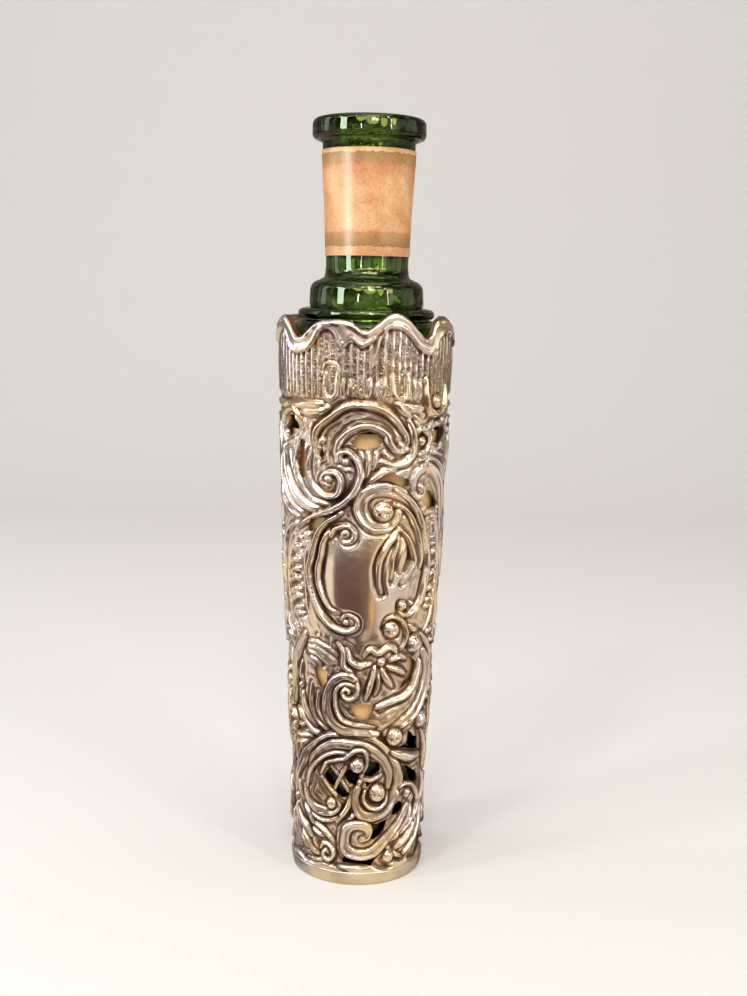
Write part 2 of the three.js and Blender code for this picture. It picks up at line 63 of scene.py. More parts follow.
# Round ribs, stems and petals
round_ribs = [
    # Under the reeded band
    (1, 0.9, (-27, 106.6), (-20, 106.4), (-15, 106.3), (-11, 107), (-8.4, 107.2)),
    (0.9, 0.8, (8.4, 107), (10.6, 106.2), (12.4, 106.4)),
    (0.8, 0.8, (21, 106.4), (23.6, 106.6), (27, 106.6)),
    (0.6, 1, (12.9, 110.6), (13.3, 107.4), (14.9, 105.2), (17.1, 104.8), (20, 105.6), (21.2, 107.6)),
    (0.5, 0.7, (-1.9, 97.4), (-2.6, 95.9), (-2.5, 94.6)),
    (0.5, 0.8, (-0.4, 97.4), (0.1, 95.4), (0.1, 93.4)),
    (0.55, 0.9, (1, 97.4), (1.2, 95), (0.6, 92.2)),
    (0.5, 0.8, (2.4, 97.4), (2.6, 95.6), (2, 94)),
    (0.5, 0.8, (3.7, 97.6), (4.8, 96.6), (6, 96)),
    # Left bowl and its wings
    (1.35, 1.15, (-19, 100), (-19.6, 96), (-18.8, 92), (-16.8, 88.6), (-13.6, 86), (-9.4, 84.4),
        (-6.6, 83.6)),
    (0.7, 1, (-22.8, 98.6), (-22.6, 94), (-20.8, 89.4), (-17.6, 86), (-13.4, 83.6)),
    (0.7, 1, (-24.8, 90), (-22.6, 86.4), (-19, 84), (-14.6, 82.6)),
    (0.5, 0.9, (-12.6, 101.3), (-14.2, 104.5), (-16.8, 105.6), (-19.6, 104.2), (-20.4, 101.2),
        (-18.8, 98.2), (-15.6, 99.2), (-12.8, 101.2)),
    # Right of the arch
    (0.5, 0.8, (10.2, 105), (11.9, 103.7), (13.9, 103.9)),
    (0.5, 0.8, (10.6, 103.6), (12.2, 102.5), (14.4, 102.6), (15.8, 103.6)),
    (0.5, 0.9, (10.6, 97.6), (10.2, 99.4), (11.2, 101.4), (13, 101.9), (14.8, 100.8), (15, 98.8),
        (13.7, 97), (11.8, 96.6), (10.6, 97.6)),
    (0.7, 0.9, (15.2, 98.2), (17, 97.4), (19, 97.8), (21.2, 99.2)),
    (0.6, 0.9, (15.6, 102.6), (18.2, 102.8), (21.2, 102)),
    (0.9, 1.2, (0.7, 90.4), (2.6, 92.3), (4.7, 93.4), (6.9, 94.3), (9.1, 95.9), (11.2, 97.4)),
    (0.5, 0.8, (2.6, 89.9), (5.6, 89.6), (8.2, 89), (10.3, 89.6)),
    (0.6, 0.9, (12, 95.4), (14.6, 95.6), (17.6, 94.7), (20.4, 92.5), (22.6, 89)),
    (0.6, 0.9, (15.4, 96.8), (18.6, 96.3), (22, 94.2), (24, 91)),
    (0.6, 0.9, (12.4, 85), (14.8, 83.9), (17.4, 84.2), (19.6, 82.8)),
    # Beside the cartouche
    (0.5, 0.8, (-12, 80.9), (-14.8, 78.6), (-17.8, 74.6), (-19.2, 70), (-19.2, 65), (-18, 60.2),
        (-15.4, 56.8)),
    (0.8, 1, (-13.6, 81.6), (-18, 79.8), (-21.2, 75.6), (-22.6, 70), (-22.4, 64), (-20.8, 58.6),
        (-17.6, 55.4)),
    (0.35, 0.6, (-12.3, 77.6), (-12.9, 73), (-13, 67), (-12, 61.4), (-10, 57.6)),
    (0.6, 0.9, (17.2, 84.4), (19, 80.6), (20.7, 75), (20.8, 69), (19.8, 63), (18, 58.4), (15.4, 56)),
    (0.35, 0.6, (16.4, 79.6), (17.1, 74), (16.8, 67.6), (15.4, 63)),
    (0.6, 1, (4.9, 59.4), (5.7, 61.2), (7.9, 61.6), (9.9, 60.4), (10.8, 57.8), (10.4, 55.2), (9, 53.6)),
    (0.6, 0.9, (11.6, 59.4), (13.4, 58.2), (15.6, 56.4)),
    # Leaves and petals under the cartouche
    (0.3, 1.15, (-12.8, 55), (-9.8, 55.4), (-6.8, 54.4), (-5, 53)),
    (0.3, 1.15, (-12.8, 53.9), (-9.8, 53.9), (-7, 52.7), (-5, 51)),
    (0.3, 1.15, (-12.6, 52.8), (-10, 52.5), (-7.8, 51.1), (-6, 49.4)),
    (0.3, 1.15, (-12.2, 51.8), (-10.4, 51.3), (-8.6, 50.1)),
    (0.8, 1.1, (-2.7, 54.6), (-2.2, 52.3), (-0.1, 50.9), (2.4, 51.2)),
    (0.75, 1.1, (1.2, 53.1), (2.5, 54.7), (4.3, 53.8), (6, 54.9), (7.8, 54.5), (8.6, 52.9)),
    (0.75, 1.2, (3.5, 50.6), (2.7, 47.2), (1.8, 43.6)),
    (0.5, 0.9, (4.2, 49.9), (4.2, 47), (3.8, 44.4)),
    (0.85, 1.2, (5, 50.2), (6, 48), (7.5, 45.9)),
    (0.85, 1.2, (6.6, 50.6), (8.9, 49.8), (11, 48.4)),
    (0.7, 1.1, (6.9, 52), (9.4, 52.5), (11.2, 51.6)),
    (0.6, 0.8, (-4.8, 56), (-3.6, 53.8), (-3.6, 51), (-1.4, 49)),
    (0.7, 1, (12, 56.4), (14.6, 57), (17.6, 55), (19.8, 51.6), (20.8, 47), (20, 42.6), (17.8, 39.4)),
    (0.6, 0.9, (-9.9, 44.4), (-9.9, 40.7), (-8.8, 38.4), (-6.9, 36.8), (-3.9, 35.9), (0, 35.6)),
    (0.55, 0.9, (-11.8, 46), (-11.8, 41.4), (-10.6, 37.9), (-8, 36), (-4.8, 35.1)),
    (0.55, 0.9, (4.9, 40.7), (8, 41.6), (11.4, 42.6), (14.2, 44.3), (16, 46.4)),
    (0.7, 1, (12.2, 37.6), (15.2, 38), (18, 36.6), (20, 33.4), (22.8, 31.4)),
    (0.6, 0.9, (-13.4, 36.2), (-17, 35.2), (-20.4, 36.4), (-22.8, 39.6)),
    (0.7, 0.9, (-11.8, 33.6), (-16, 32.8), (-20.6, 33), (-24.2, 35)),
    (0.6, 0.9, (-14.6, 50.4), (-15.2, 47.4), (-14.4, 44.6)),
    (0.9, 1.1, (-17, 39.2), (-15.2, 38.6), (-13.2, 36.8), (-11.2, 34.9), (-8.6, 33.9)),
    (0.8, 1.05, (-14.6, 42.8), (-13.9, 40.2), (-12.4, 38), (-10.4, 36)),
    (0.7, 1.1, (-22.6, 37.4), (-20.6, 38), (-18.6, 37.2), (-17.6, 35.2), (-18.8, 33.2), (-21, 33.2)),
    # Inside and beside the wreath
    (0.34, 0.85, (-7, 28), (-4.6, 25.7), (-3, 23.2), (-1.3, 20.9)),
    (0.34, 0.85, (-6.2, 21.6), (-5.2, 23.4), (-4.1, 25.2), (-2.7, 27.8)),
    (0.42, 0.85, (-9.9, 25.6), (-8.9, 24), (-7.6, 22.6), (-6, 21.3), (-4.9, 20.1), (-3.4, 19.4)),
    (0.5, 0.8, (1.3, 27.6), (0.9, 24.6), (0, 22), (-1.2, 19.6)),
    (0.4, 0.7, (1, 24.9), (3.6, 24.7), (6, 25.8)),
    (0.8, 1, (-0.9, 22.2), (-1.9, 19.4), (-3.2, 16.8), (-5, 14.4)),
    (0.6, 0.9, (0.7, 20), (-0.6, 16.8), (-2.6, 14.8)),
    (0.5, 0.9, (-15.6, 21.4), (-14.6, 17.2), (-11.4, 14.8), (-7.4, 14.4), (-4.6, 15.4)),
    (0.8, 1, (17.4, 35.6), (19.2, 32.6), (20.4, 29.4), (23.2, 26.6)),
    (0.9, 1.1, (20.6, 24), (21.6, 20.6), (20.6, 17), (18.4, 14.6)),
    (0.6, 0.9, (-16.2, 30), (-17.8, 26), (-17.6, 21.6), (-15.8, 17.6), (-12.8, 14.2)),
    (0.7, 0.9, (-18.8, 30.4), (-20.6, 26), (-20.2, 21), (-18, 16.6), (-14.8, 13)),
    # Leaves of the foot
    (0.5, 0.9, (-2.5, 15), (-4.4, 12.2), (-4.6, 9), (-3.4, 6.4)),
    (0.9, 1.1, (-16.4, 12), (-14.4, 9.3), (-12.2, 6.8), (-10.4, 5.8)),
    (0.7, 1, (-19, 13.4), (-17, 9.4), (-14.4, 6.6)),
    (0.7, 1, (-21.6, 14.6), (-19.8, 9.6), (-17, 6)),
    (0.7, 1, (-12.2, 13.2), (-9.8, 12.6), (-7.4, 11.2), (-5.6, 9.4)),
    (0.55, 0.9, (-12.2, 11.6), (-10.4, 11), (-8.4, 10.6)),
    (1.1, 1.2, (15.6, 17.4), (14.4, 14.2), (12, 11.6), (9, 9.6)),
    (1.2, 1.15, (18.4, 17), (17.2, 13), (14.6, 9.8), (11, 7.4)),
    (1.1, 1.05, (21.2, 16), (20.2, 11.8), (17.6, 8), (14, 5.6)),
    (0.7, 0.9, (7.8, 8.4), (10.4, 6.2), (13, 4.8)),
    (0.5, 0.8, (6.4, 5.6), (9, 4.2), (12, 3.9)),
    (0.5, 0.8, (-4.8, 4.2), (-1.4, 3.9), (2.6, 3.7)),
    # Side of the sleeve
    (0.7, 1, (22.8, 104), (24.4, 98), (24.6, 92)),
    (0.6, 0.9, (22.8, 88.4), (22.4, 82), (22.8, 75), (24.4, 68.6), (26.6, 63.4)),
    (0.6, 0.9, (27.2, 86), (26.4, 80.6), (27.2, 75), (29, 70.4)),
    (0.7, 1, (22.2, 66), (22.4, 61), (21.8, 56)),
    (0.6, 0.9, (24, 38), (25.4, 34.4), (25.2, 31)),
    (0.6, 0.9, (29.4, 31), (30.4, 35.6), (29.6, 40.4), (26.8, 45.4), (25, 49.8)),
    (0.7, 1, (22.4, 10), (23.4, 7), (26, 5.6), (29, 6.4), (31, 9.4)),
]
# Flat scrolls with a rim on the left as the line runs, or on the right where the half width is negative
rimmed_scrolls = [
    (1.5, 1.5, (7.6, 84.4), (6.6, 82.6), (4.4, 81.2), (1.7, 81.6), (0, 83.9), (-0.2, 86.4), (0.9, 88.7),
        (3.2, 89.7), (6.1, 89.2), (9.4, 87.2), (12, 84)),
    (-1.5, 1.5, (6.6, 35.4), (10.4, 36.7), (13.9, 38.6), (16.8, 41.8), (18.7, 45.1), (18.9, 48.9),
        (16.9, 52.6)),
    (1.45, 1.5, (-18.6, 19.2), (-18.4, 22.2), (-16.4, 25.7), (-13.4, 29.2), (-10, 32.2), (-6.4, 34),
        (-2.6, 34.8), (1.5, 34.2), (5, 32.4), (8, 29.6), (9.9, 26.3), (10.3, 23.2), (9.3, 20), (7.2, 17.3),
        (4.4, 15.9), (1.6, 16.2), (0, 17.8), (-0.4, 20.1), (0.3, 22.4)),
    (1.25, 1.15, (-13.2, 22.6), (-12.1, 27.2), (-9.3, 30.7), (-5.8, 32.5), (-2.6, 32.9), (1.2, 32.4),
        (4.3, 30.8), (6.8, 28.1), (7.9, 25), (7.6, 22)),
    (-1.05, 1.3, (-14.6, 21.2), (-13.9, 18.7), (-11.6, 17), (-8.7, 16.4), (-6.1, 16.6), (-4.7, 18.2),
        (-5.4, 19.6)),
    (-1.3, 1.4, (1.4, 10.8), (2.9, 11.3), (3.3, 12.7), (2.2, 13.8), (0.2, 14.1), (-2, 13.2), (-3, 10.8),
        (-2.8, 8.4), (-1.1, 7.2), (1.7, 6.9), (4.6, 7.9), (7.6, 10), (9.9, 12.4), (12.4, 14.8),
        (14.4, 16.8)),
    (1.1, 1.25, (13.6, 88.4), (12.3, 87.5), (10.9, 88.6), (10.8, 91), (12.1, 93.1), (14.4, 93.6),
        (17, 92.3), (19.6, 89.6), (21.2, 86), (21.9, 81.6), (21.6, 77)),
    (1.6, 1.3, (-13.6, 56.4), (-15.4, 53.6), (-16.9, 50.2), (-17.6, 46.6), (-18, 43), (-19, 40.6),
        (-20.8, 39.8), (-22.2, 41), (-22, 42.9), (-20.6, 43)),
    (-1.15, 1.5, (-0.6, 47.4), (-2, 48.4), (-3.9, 48.2), (-5.8, 46.7), (-7.2, 44.2), (-7.5, 41),
        (-6.4, 38.2), (-3.8, 36.4), (0, 35.9), (4.5, 35.2)),
]
# Full, rounded bands
fat_scrolls = [
    (0.85, 1.6, (-9, 97.6), (-9.8, 99.7), (-8.5, 102.6), (-5.9, 105), (-3.1, 106.7), (0.1, 107.3),
        (3.2, 106.6), (5.7, 104.8), (7.4, 102.5), (8.7, 100.2), (8.3, 98.2), (7.2, 97.8)),
    (0.85, 1.4, (-5.2, 95.2), (-5, 97.8), (-4.2, 100.1), (-2.2, 102), (0.1, 102.9), (2.5, 102.6),
        (4.5, 101.2), (5, 99.4), (6.7, 97.6), (9, 98)),
    (1, 1.25, (4.3, 41.6), (7.4, 42.3), (10.9, 43.4), (13.3, 45.2), (14.8, 47.7), (15.6, 50.6)),
    (0.75, 1.2, (11.2, 21.6), (13.2, 22.3), (16.2, 21), (18.4, 17.8), (17.8, 14.8), (15, 12.8), (12, 10.8)),
    (1.3, 1.25, (8.7, 30.6), (11.3, 29.6), (14.2, 28.4), (17.9, 27.9)),
    (1.3, 1.2, (19.4, 33), (20.3, 30.4), (20.9, 27), (21.7, 23.6)),
    (1, 1.2, (-18.8, 16.6), (-17.9, 14.5), (-16.2, 12.6), (-14, 11), (-12.4, 9.6)),
    (0.6, 1.1, (-15.3, 16.6), (-13.3, 14.9), (-11.9, 12.7)),
    (0.5, 1.2, (-9.6, 7.4), (-8.6, 8.9), (-6.8, 8.8), (-5.7, 7.2), (-6.3, 5.5), (-7.9, 5.1), (-8.8, 6.3),
        (-7.9, 7.3), (-7.1, 6.7)),
    (0.9, 1.2, (3.6, 95.2), (5.6, 94.6), (8, 94.9), (9.9, 96.6), (10.5, 99.2), (10.1, 101.8), (9.2, 103.8)),
    (1.2, 1.2, (24.6, 21.4), (27.4, 20.2), (29.2, 17), (28.8, 13), (26.4, 10.2), (23.9, 10.8),
        (23.6, 13.2), (25.4, 14.2)),
]
# Broad low leaves that the ribs lie on
webs = [
    (1.5, 1, (8.8, 79.4), (8.4, 75.6), (8.4, 72.2)),
    (2.5, 0.95, (-12, 53.6), (-9.4, 53.2), (-6.6, 51.8)),
    (1.5, 0.75, (-18.6, 106.4), (-14.4, 106.2), (-10.8, 105.6), (-7.4, 106.4)),
    (1.5, 0.8, (6.6, 107.4), (9.6, 105.6), (12.4, 105)),
    (2.6, 0.85, (-18.6, 27.4), (-15.4, 31), (-11.6, 33.8)),
    (2.2, 0.7, (17.4, 13), (14, 9.4), (10.4, 6.4)),
    (2.2, 0.7, (-17.6, 14), (-14.6, 10.4), (-11, 7.6)),
    (2, 0.7, (-20.6, 51.6), (-17.2, 47), (-15.6, 42)),
]
# Ribs chased last, over all the others
crowning_ribs = [
    # Looped fingers of the band, and the cup over it
    (0.34, 0.95, (-7.9, 114), (-7.7, 115.2), (-6.6, 115.8), (-5.4, 115.5), (-5, 114.2), (-5, 110.6),
        (-5.4, 108.8), (-6.6, 108.3), (-7.6, 109.3), (-7.5, 112), (-7.1, 113.6)),
    (0.34, 0.95, (5.4, 114), (5.5, 110), (6, 108.8), (7.1, 108.3), (8.3, 108.9), (8.7, 110.4), (8.6, 114)),
    (0.3, 0.85, (-4, 112.8), (-4.1, 109)),
    (0.3, 0.85, (-2.7, 112.8), (-2.6, 108.8)),
    (0.3, 0.85, (1, 113), (1, 109.2)),
    (0.3, 0.85, (2.2, 114.8), (2.2, 109)),
    (0.3, 0.85, (3.7, 113), (3.7, 108.8)),
    (0.3, 0.85, (10.2, 112.6), (10.2, 108.4)),
    (0.3, 0.85, (11.6, 112.6), (11.6, 108.4)),
    (0.35, 1, (2.7, 121.6), (2.2, 118), (2, 112)),
    (0.75, 1.25, (13.1, 112.4), (13.2, 109), (14, 106.3), (16.2, 104.9), (18.8, 105.6), (20, 108),
        (20, 111)),
    # Arch under the band, and the bowl and stem beside it
    (0.6, 1.35, (-11.1, 97.4), (-11.4, 93.1), (-10.4, 90), (-7.7, 88), (-5, 88.2), (-4.2, 90.6),
        (-5.4, 92.6), (-7.5, 92.4), (-8.1, 90.7), (-6.6, 90)),
    (0.5, 1.15, (-14.4, 99.4), (-14.9, 93.6), (-13.5, 89.6), (-10.7, 86.7), (-6.3, 86)),
    (0.75, 1.6, (-3.4, 94.7), (-4.6, 95.8), (-4.3, 97.1), (-2.7, 97.5), (-1.3, 96.2), (-0.5, 93.5),
        (-0.9, 90.7), (-2.1, 87.9), (-4.6, 86), (-8.2, 84), (-12.4, 81.8), (-16.6, 78.4)),
    # Frame of the cartouche
    (0.68, 1.55, (-4.2, 84.6), (-7.3, 82), (-9.7, 78.4), (-10.9, 74.4), (-11.4, 70.5), (-10.8, 66.3),
        (-8.9, 62.3), (-5.9, 59.4), (-2.9, 58.4), (-0.7, 59.8), (-1.1, 61.8), (-3, 62.3), (-4, 60.9)),
    (0.62, 1.45, (-3.7, 81.9), (-5.9, 80.7), (-7.7, 78.2), (-8.7, 74.8), (-9.2, 70.9), (-8.6, 66.7),
        (-6.9, 63.4), (-4.6, 62.4)),
    (0.7, 1.4, (-6.2, 79), (-5.3, 80.9), (-3.3, 81.7), (-1.7, 80.6), (-1.7, 78.9), (-3, 78.1), (-4.2, 79.1)),
    (0.75, 1.5, (6.4, 89.2), (9.5, 87.3), (12.3, 83.7), (14.2, 79.6), (15.1, 75.6), (15.5, 71.6),
        (14.9, 67.6), (13.2, 63.8), (10.9, 61.9), (8.6, 62.9), (8.3, 65)),
    (0.5, 1.25, (6.4, 86.3), (8.6, 85.4), (10.7, 82.9), (12.6, 79.4), (13.7, 75.6), (13.9, 72)),
    (0.85, 1.4, (8, 81.2), (6.5, 79.1), (5.1, 77.3), (4.1, 75), (3.5, 72.2), (3.5, 69.3), (4.2, 67)),
    (0.42, 1.15, (7.8, 79.9), (7.2, 77.1), (6.6, 74.3), (6.6, 71.9), (6.1, 69.6)),
    (0.75, 1.35, (8.5, 80.6), (9.9, 78.8), (10.8, 76.3), (11.5, 73.8), (10.8, 71.6), (9.9, 69.8), (8.6, 69)),
    # Scroll under the cartouche and the broad bands beside it
    (0.45, 1.2, (-0.4, 45.9), (-1.6, 46.5), (-3.8, 46.3), (-5.2, 44.8), (-5.6, 42.5), (-4.8, 39.7),
        (-2.7, 37.9), (0.7, 37.2), (3.7, 36.9)),
    (0.42, 1.3, (-0.5, 47.2), (0, 45.4), (-0.7, 44), (-2.2, 43.1), (-3.4, 43.6), (-3.8, 44.7),
        (-2.9, 45.5), (-2.1, 44.8), (-2.6, 44.2)),
    # Wreath, its inner bands and the frame of the lattice
    (0.5, 1.15, (-14.2, 20.8), (-13.4, 24.3), (-10.8, 27.4), (-7.5, 29.9), (-3.8, 30.8), (-1.1, 30.2)),
    (0.5, 1.1, (-9.6, 25.2), (-7.7, 28.1), (-5.4, 28.9), (-3, 29.7), (-0.7, 31.6), (1.6, 31.4),
        (2.2, 28.9), (1.4, 26.6)),
    (0.6, 1.2, (2, 22), (1.6, 19.8), (3, 18.1), (5, 17.8), (7, 19), (7.8, 21.4)),
]
# Domed beads: where, and their radius
beads = [
    (-8.3, 99.4, 0.8), (7.6, 98.7, 0.8), (-3.4, 95.2, 0.6), (-6.9, 91.4, 0.8), (16.6, 107.6, 1.5),
    (12.8, 89.6, 0.9), (4.3, 84.7, 2.1), (-3.2, 79.9, 1.1), (-11.6, 78.8, 0.7), (9.2, 64, 1.2),
    (11.7, 64.2, 0.6), (6.9, 58.8, 1.9), (13.3, 54.8, 2.1), (-3, 60.5, 0.7), (4.9, 51.6, 0.9),
    (8.9, 34.1, 2.15), (-0.1, 27.9, 1.7), (5, 21.4, 2.1), (-6.5, 18.6, 1.3), (14.1, 19.9, 1.2),
    (8.5, 6, 1.5), (-18.9, 17.4, 0.9), (17.8, 36.4, 2.1), (-18.4, 34.4, 1.3), (-20.9, 41.6, 0.8),
    (25, 55.9, 1.1), (25.6, 12.6, 1.1), (23.4, 101, 0.9), (-15.2, 44.6, 0.8), (19.4, 103.6, 0.7),
    (12.6, 99.4, 0.8),
]
# Ruffled leaf edges: where the row starts and ends, how far over and down its lobes reach, and their count
ruffles = [
    ((-13.6, 77.6), (-13.4, 60.6), (-4.4, -1.9), 9),
    ((17, 83), (16.4, 62), (3.2, 1.2), 10),
    ((-23, 78), (-23, 60), (-3, 1.4), 8),
    ((-17.6, 57), (-20.6, 39), (-3.4, 0.8), 8),
    ((18.4, 56), (19.8, 40), (2.6, 1.4), 8),
]
# Openings sawn out between the lines
openings = [
    [(-2.4, 99.4), (-1, 101.2), (1.2, 101.8), (3.1, 101.1), (4, 99.8), (2.7, 98.5), (0.8, 97.9),
        (-1.2, 98.2)],
    [(-18.4, 99.2), (-18.9, 101.6), (-17.4, 104.2), (-15.8, 104.4), (-14.2, 102.4), (-13.8, 101.2),
        (-16, 100)],
    [(-15.7, 95.4), (-14.4, 99.2), (-12.6, 99.4), (-12.2, 95.4), (-12.4, 91.4), (-13.8, 90.6), (-15.4, 93)],
    [(-8.9, 96.4), (-8.2, 97.8), (-7.6, 96.8), (-8.2, 95.6)],
    [(1.7, 94.2), (4.2, 94), (7, 92.6), (9.8, 91.4), (10.2, 90), (7.4, 90), (4.4, 90.6), (2.6, 92.2)],
    [(10.9, 98), (10.9, 100.2), (12.4, 101.3), (14.2, 100.4), (14.3, 98.6), (12.8, 97.4)],
    [(15.8, 98.8), (16.2, 101.8), (18.4, 102.2), (21, 101.6), (20.6, 100), (18.2, 98.4)],
    [(13.1, 86.4), (14.2, 88.6), (16.4, 88.4), (18.6, 86), (20.6, 83.8), (18.4, 83.6), (15, 84.6)],
    [(-12.2, 80.2), (-10, 82.8), (-7.4, 84.2), (-7.6, 82.8), (-9.6, 80.4), (-11.2, 79.6)],
    [(-11, 49.2), (-10.2, 50.4), (-8.9, 49.7), (-7.3, 49.3), (-7.6, 46.6), (-9.1, 44.9), (-10.6, 47.4)],
    [(11.2, 52.6), (12.6, 52), (14.3, 50.6), (14.9, 48.4), (12.4, 46.3), (9.9, 45), (10.4, 46.6),
        (12, 48.7)],
    [(-2.1, 42.5), (-0.6, 42), (0.8, 42.6), (2.8, 42.2), (3.7, 41), (2.7, 39.6), (2.4, 38.4), (0, 38.5),
        (-1.6, 40.4)],
    [(10, 31.5), (12.6, 32), (12.8, 34), (13.3, 34.9), (15.4, 33), (17.2, 32.4), (16.8, 30.8),
        (17.5, 29.4), (13.4, 30.6)],
    [(11.3, 27), (13.4, 26.6), (15.4, 25.2), (17.2, 24.2), (18.6, 21.6), (17.6, 20.6), (15.8, 22.4),
        (12, 22.8), (11.8, 24.6)],
    [(-8.6, 24.9), (-6.9, 27.3), (-4.3, 25.4), (-5.5, 22.4), (-7.2, 23.1)],
    [(-3.4, 25.4), (-2.4, 27.3), (0.7, 26), (-0.4, 23.3), (-1.8, 23.9)],
    [(-5.7, 22), (-3.6, 24.4), (-2.6, 23), (-1.8, 20.8), (-3.6, 20.4), (-4.8, 20.9)],
    [(1.4, 25.7), (2.9, 29.2), (5.4, 28.5), (5.5, 26.8), (3.5, 25.3)],
    [(1.9, 24.5), (3.4, 24), (2.3, 22.9)],
    [(0.6, 22.1), (2.1, 22.4), (1.6, 21.1)],
    [(8.8, 15.6), (9.7, 17.4), (11, 18.8), (12.6, 18), (12.8, 16.2), (10.6, 15.6)],
    [(1.8, 13.7), (3.4, 14.2), (5.4, 14.3), (8, 15.1), (7.4, 13.6), (7, 12.3), (5.6, 11.2), (4.2, 10.4),
        (3.2, 10.9), (3.4, 12.4)],
    [(-3.6, 5.1), (-3.2, 7.2), (-2, 6.6), (0, 6), (2.6, 5.9), (5.2, 6.4), (4.5, 5.2), (3.8, 4.3),
        (1.5, 4.8), (-1, 5)],
    [(-7.2, 18), (-6, 19.4), (-5, 18.4), (-6, 17.2)],
    [(-21, 36.6), (-20.2, 38.6), (-18.8, 37.4), (-19.8, 36)],
    [(22.8, 41), (24.2, 40.4), (25, 37.4), (23.6, 36.2), (22, 38)],
    [(25.4, 70.4), (26.4, 66.2), (25.6, 62.4), (24, 64.4), (23.8, 68.8)],
    [(24.6, 18.4), (26.4, 18.4), (26.8, 16), (25.2, 16)],
]
# The scalloped rim, and the lower edge of the rolled border that follows it
rim = [
    (-26, 121.4), (-22.6, 123.9), (-19, 125.2), (-17, 124.1), (-15.3, 121.8), (-13.8, 120.9), (-12, 121.6),
    (-9, 124.1), (-6, 124.5), (-2.6, 124.1), (-0.8, 122.7), (0.3, 122.4), (1.7, 123.4), (4, 125.4),
    (6, 126), (8, 125), (10.4, 122.4), (12.4, 121), (13.8, 121.7), (15, 124.4), (17, 125), (19.4, 124.6),
    (22.4, 122.6), (26, 121.4),
]
border = [
    (-26, 118.6), (-23, 121), (-20, 122.2), (-18, 121), (-16.4, 118.2), (-14.4, 117.3), (-11.4, 118.1),
    (-10, 119.4), (-8.7, 121.8), (-7, 122.6), (-5.7, 121.6), (-4.2, 118.8), (-2.4, 120.2), (-0.4, 118.8),
    (1.6, 120.2), (3, 120.2), (4, 122.5), (6.4, 122.8), (8.4, 121.4), (10.6, 118.8), (13, 117.4),
    (15.2, 118.3), (16.4, 120.8), (19, 121.8), (22, 120.4), (26, 118.6),
]
BAND_FOOT = 107.6
# Looped fingers of the band: their middle, foot, top and radius
band_fingers = [
    (-6.3, 108.4, 115.6, 1.3), (7.1, 108.4, 114, 1.6), (-19.6, 109, 116, 1.2),
    (20.6, 109, 115.6, 1.2),
]


# Pierced sleeve: the chased relief
# The silver is raised with punches line by line: a later line covers what it crosses, between two grooves.
# Its heights over the ground are kept on a fine grid over the drawing.
FINER = 2
COLUMNS, ROWS = 180, 420
SHEET_FOOT = 1.2
GROOVE = 0.5


def through(points):
    """A smooth line through drawn points, sampled about every third of a millimetre."""
    p = np.array(points, float)
    p = np.vstack([2 * p[0] - p[1], p, 2 * p[-1] - p[-2]])
    out = []
    for a, b, c, d in zip(p[:-3], p[1:-2], p[2:-1], p[3:]):
        count = max(2, int(np.hypot(*(c - b)) / 0.35))
        t = (np.arange(count) / count)[:, None]
        bend, twist = 2 * a - 5 * b + 4 * c - d, 3 * b - a - 3 * c + d
        out.append(0.5 * (2 * b + (c - a) * t + bend * t**2 + twist * t**3))
    return np.vstack([*out, p[-2:-1]])


def round_the_sleeve(points):
    """The line through drawn points, and its copies a period to each side where they reach the sheet."""
    for shift in (-PERIOD, 0, PERIOD):
        line = through([(u + shift, v) for u, v in points])
        if line[:, 0].max() >= -HALF_WIDTH - 2 and line[:, 0].min() <= HALF_WIDTH + 2:
            yield line


drawn_rim = through(rim)
at_u = np.linspace(-HALF_WIDTH, HALF_WIDTH, FINER * COLUMNS + 1)
at_rim = np.interp(at_u, drawn_rim[:, 0], drawn_rim[:, 1])
share = np.linspace(0, 1, FINER * ROWS + 1)[:, None]
U = np.broadcast_to(at_u, (len(share), len(at_u))).copy()
V = SHEET_FOOT + (at_rim - SHEET_FOOT) * share
# The hand wavers a little, so no line is ruled
hand_u = U + 0.14 * np.sin(0.6 * V + 0.3 * U) + 0.03 * np.sin(1.7 * V - 1.1 * U)
hand_v = V + 0.14 * np.sin(0.6 * U + 0.4 * V + 2) + 0.03 * np.sin(1.9 * U + 0.9 * V)


def near_line(line, reach):
    """Where the grid lies within reach of a line: its distance, how far along, and on which side."""
    low, high = line.min(0) - reach, line.max(0) + reach
    in_u, in_v = (hand_u > low[0]) & (hand_u < high[0]), (hand_v > low[1]) & (hand_v < high[1])
    rows, columns = np.nonzero(in_u & in_v)
    p = np.stack([hand_u[rows, columns], hand_v[rows, columns]], 1)
    best = np.full(len(p), 1e9)
    along, side = np.zeros(len(p)), np.ones(len(p))
    count = len(line) - 1
    for i in range(count):
        a, step = line[i], line[i + 1] - line[i]
        t = np.clip((p - a) @ step / max(step @ step, 1e-9), 0, 1)
        offset = p - a - t[:, None] * step
        away = np.hypot(*offset.T)
        closer = away < best
        best[closer] = away[closer]
        along[closer] = (i + t[closer]) / count
        side[closer] = np.where(step[0] * offset[closer, 1] > step[1] * offset[closer, 0], 1, -1)
    close = best < reach
    return rows[close], columns[close], best[close], along[close], side[close]


# Sections across a line, from -1 at its right edge to 1 at its left
def rimmed_form(x):
    lip = np.exp(-(((x - 0.6) / 0.3) ** 2))
    low_lip = 0.62 * np.exp(-(((x + 0.72) / 0.26) ** 2))
    return np.maximum(np.maximum(lip, low_lip), 0.42 + 0.12 * x) * (1 - np.abs(x) ** 7).clip(0, 1) ** 0.8


def rib_form(x):
    return np.sqrt(np.clip(1 - x**2, 0, 1)) ** 1.15


def hollow_form(x):
    x = np.abs(x)
    lip = np.exp(-(((x - 0.74) / 0.22) ** 2))
    floor = 0.18 + 0.4 * x**2
    return np.where(x < 0.74, np.maximum(lip, floor), np.sqrt(np.clip(1 - ((x - 0.74) / 0.27) ** 2, 0, 1)))


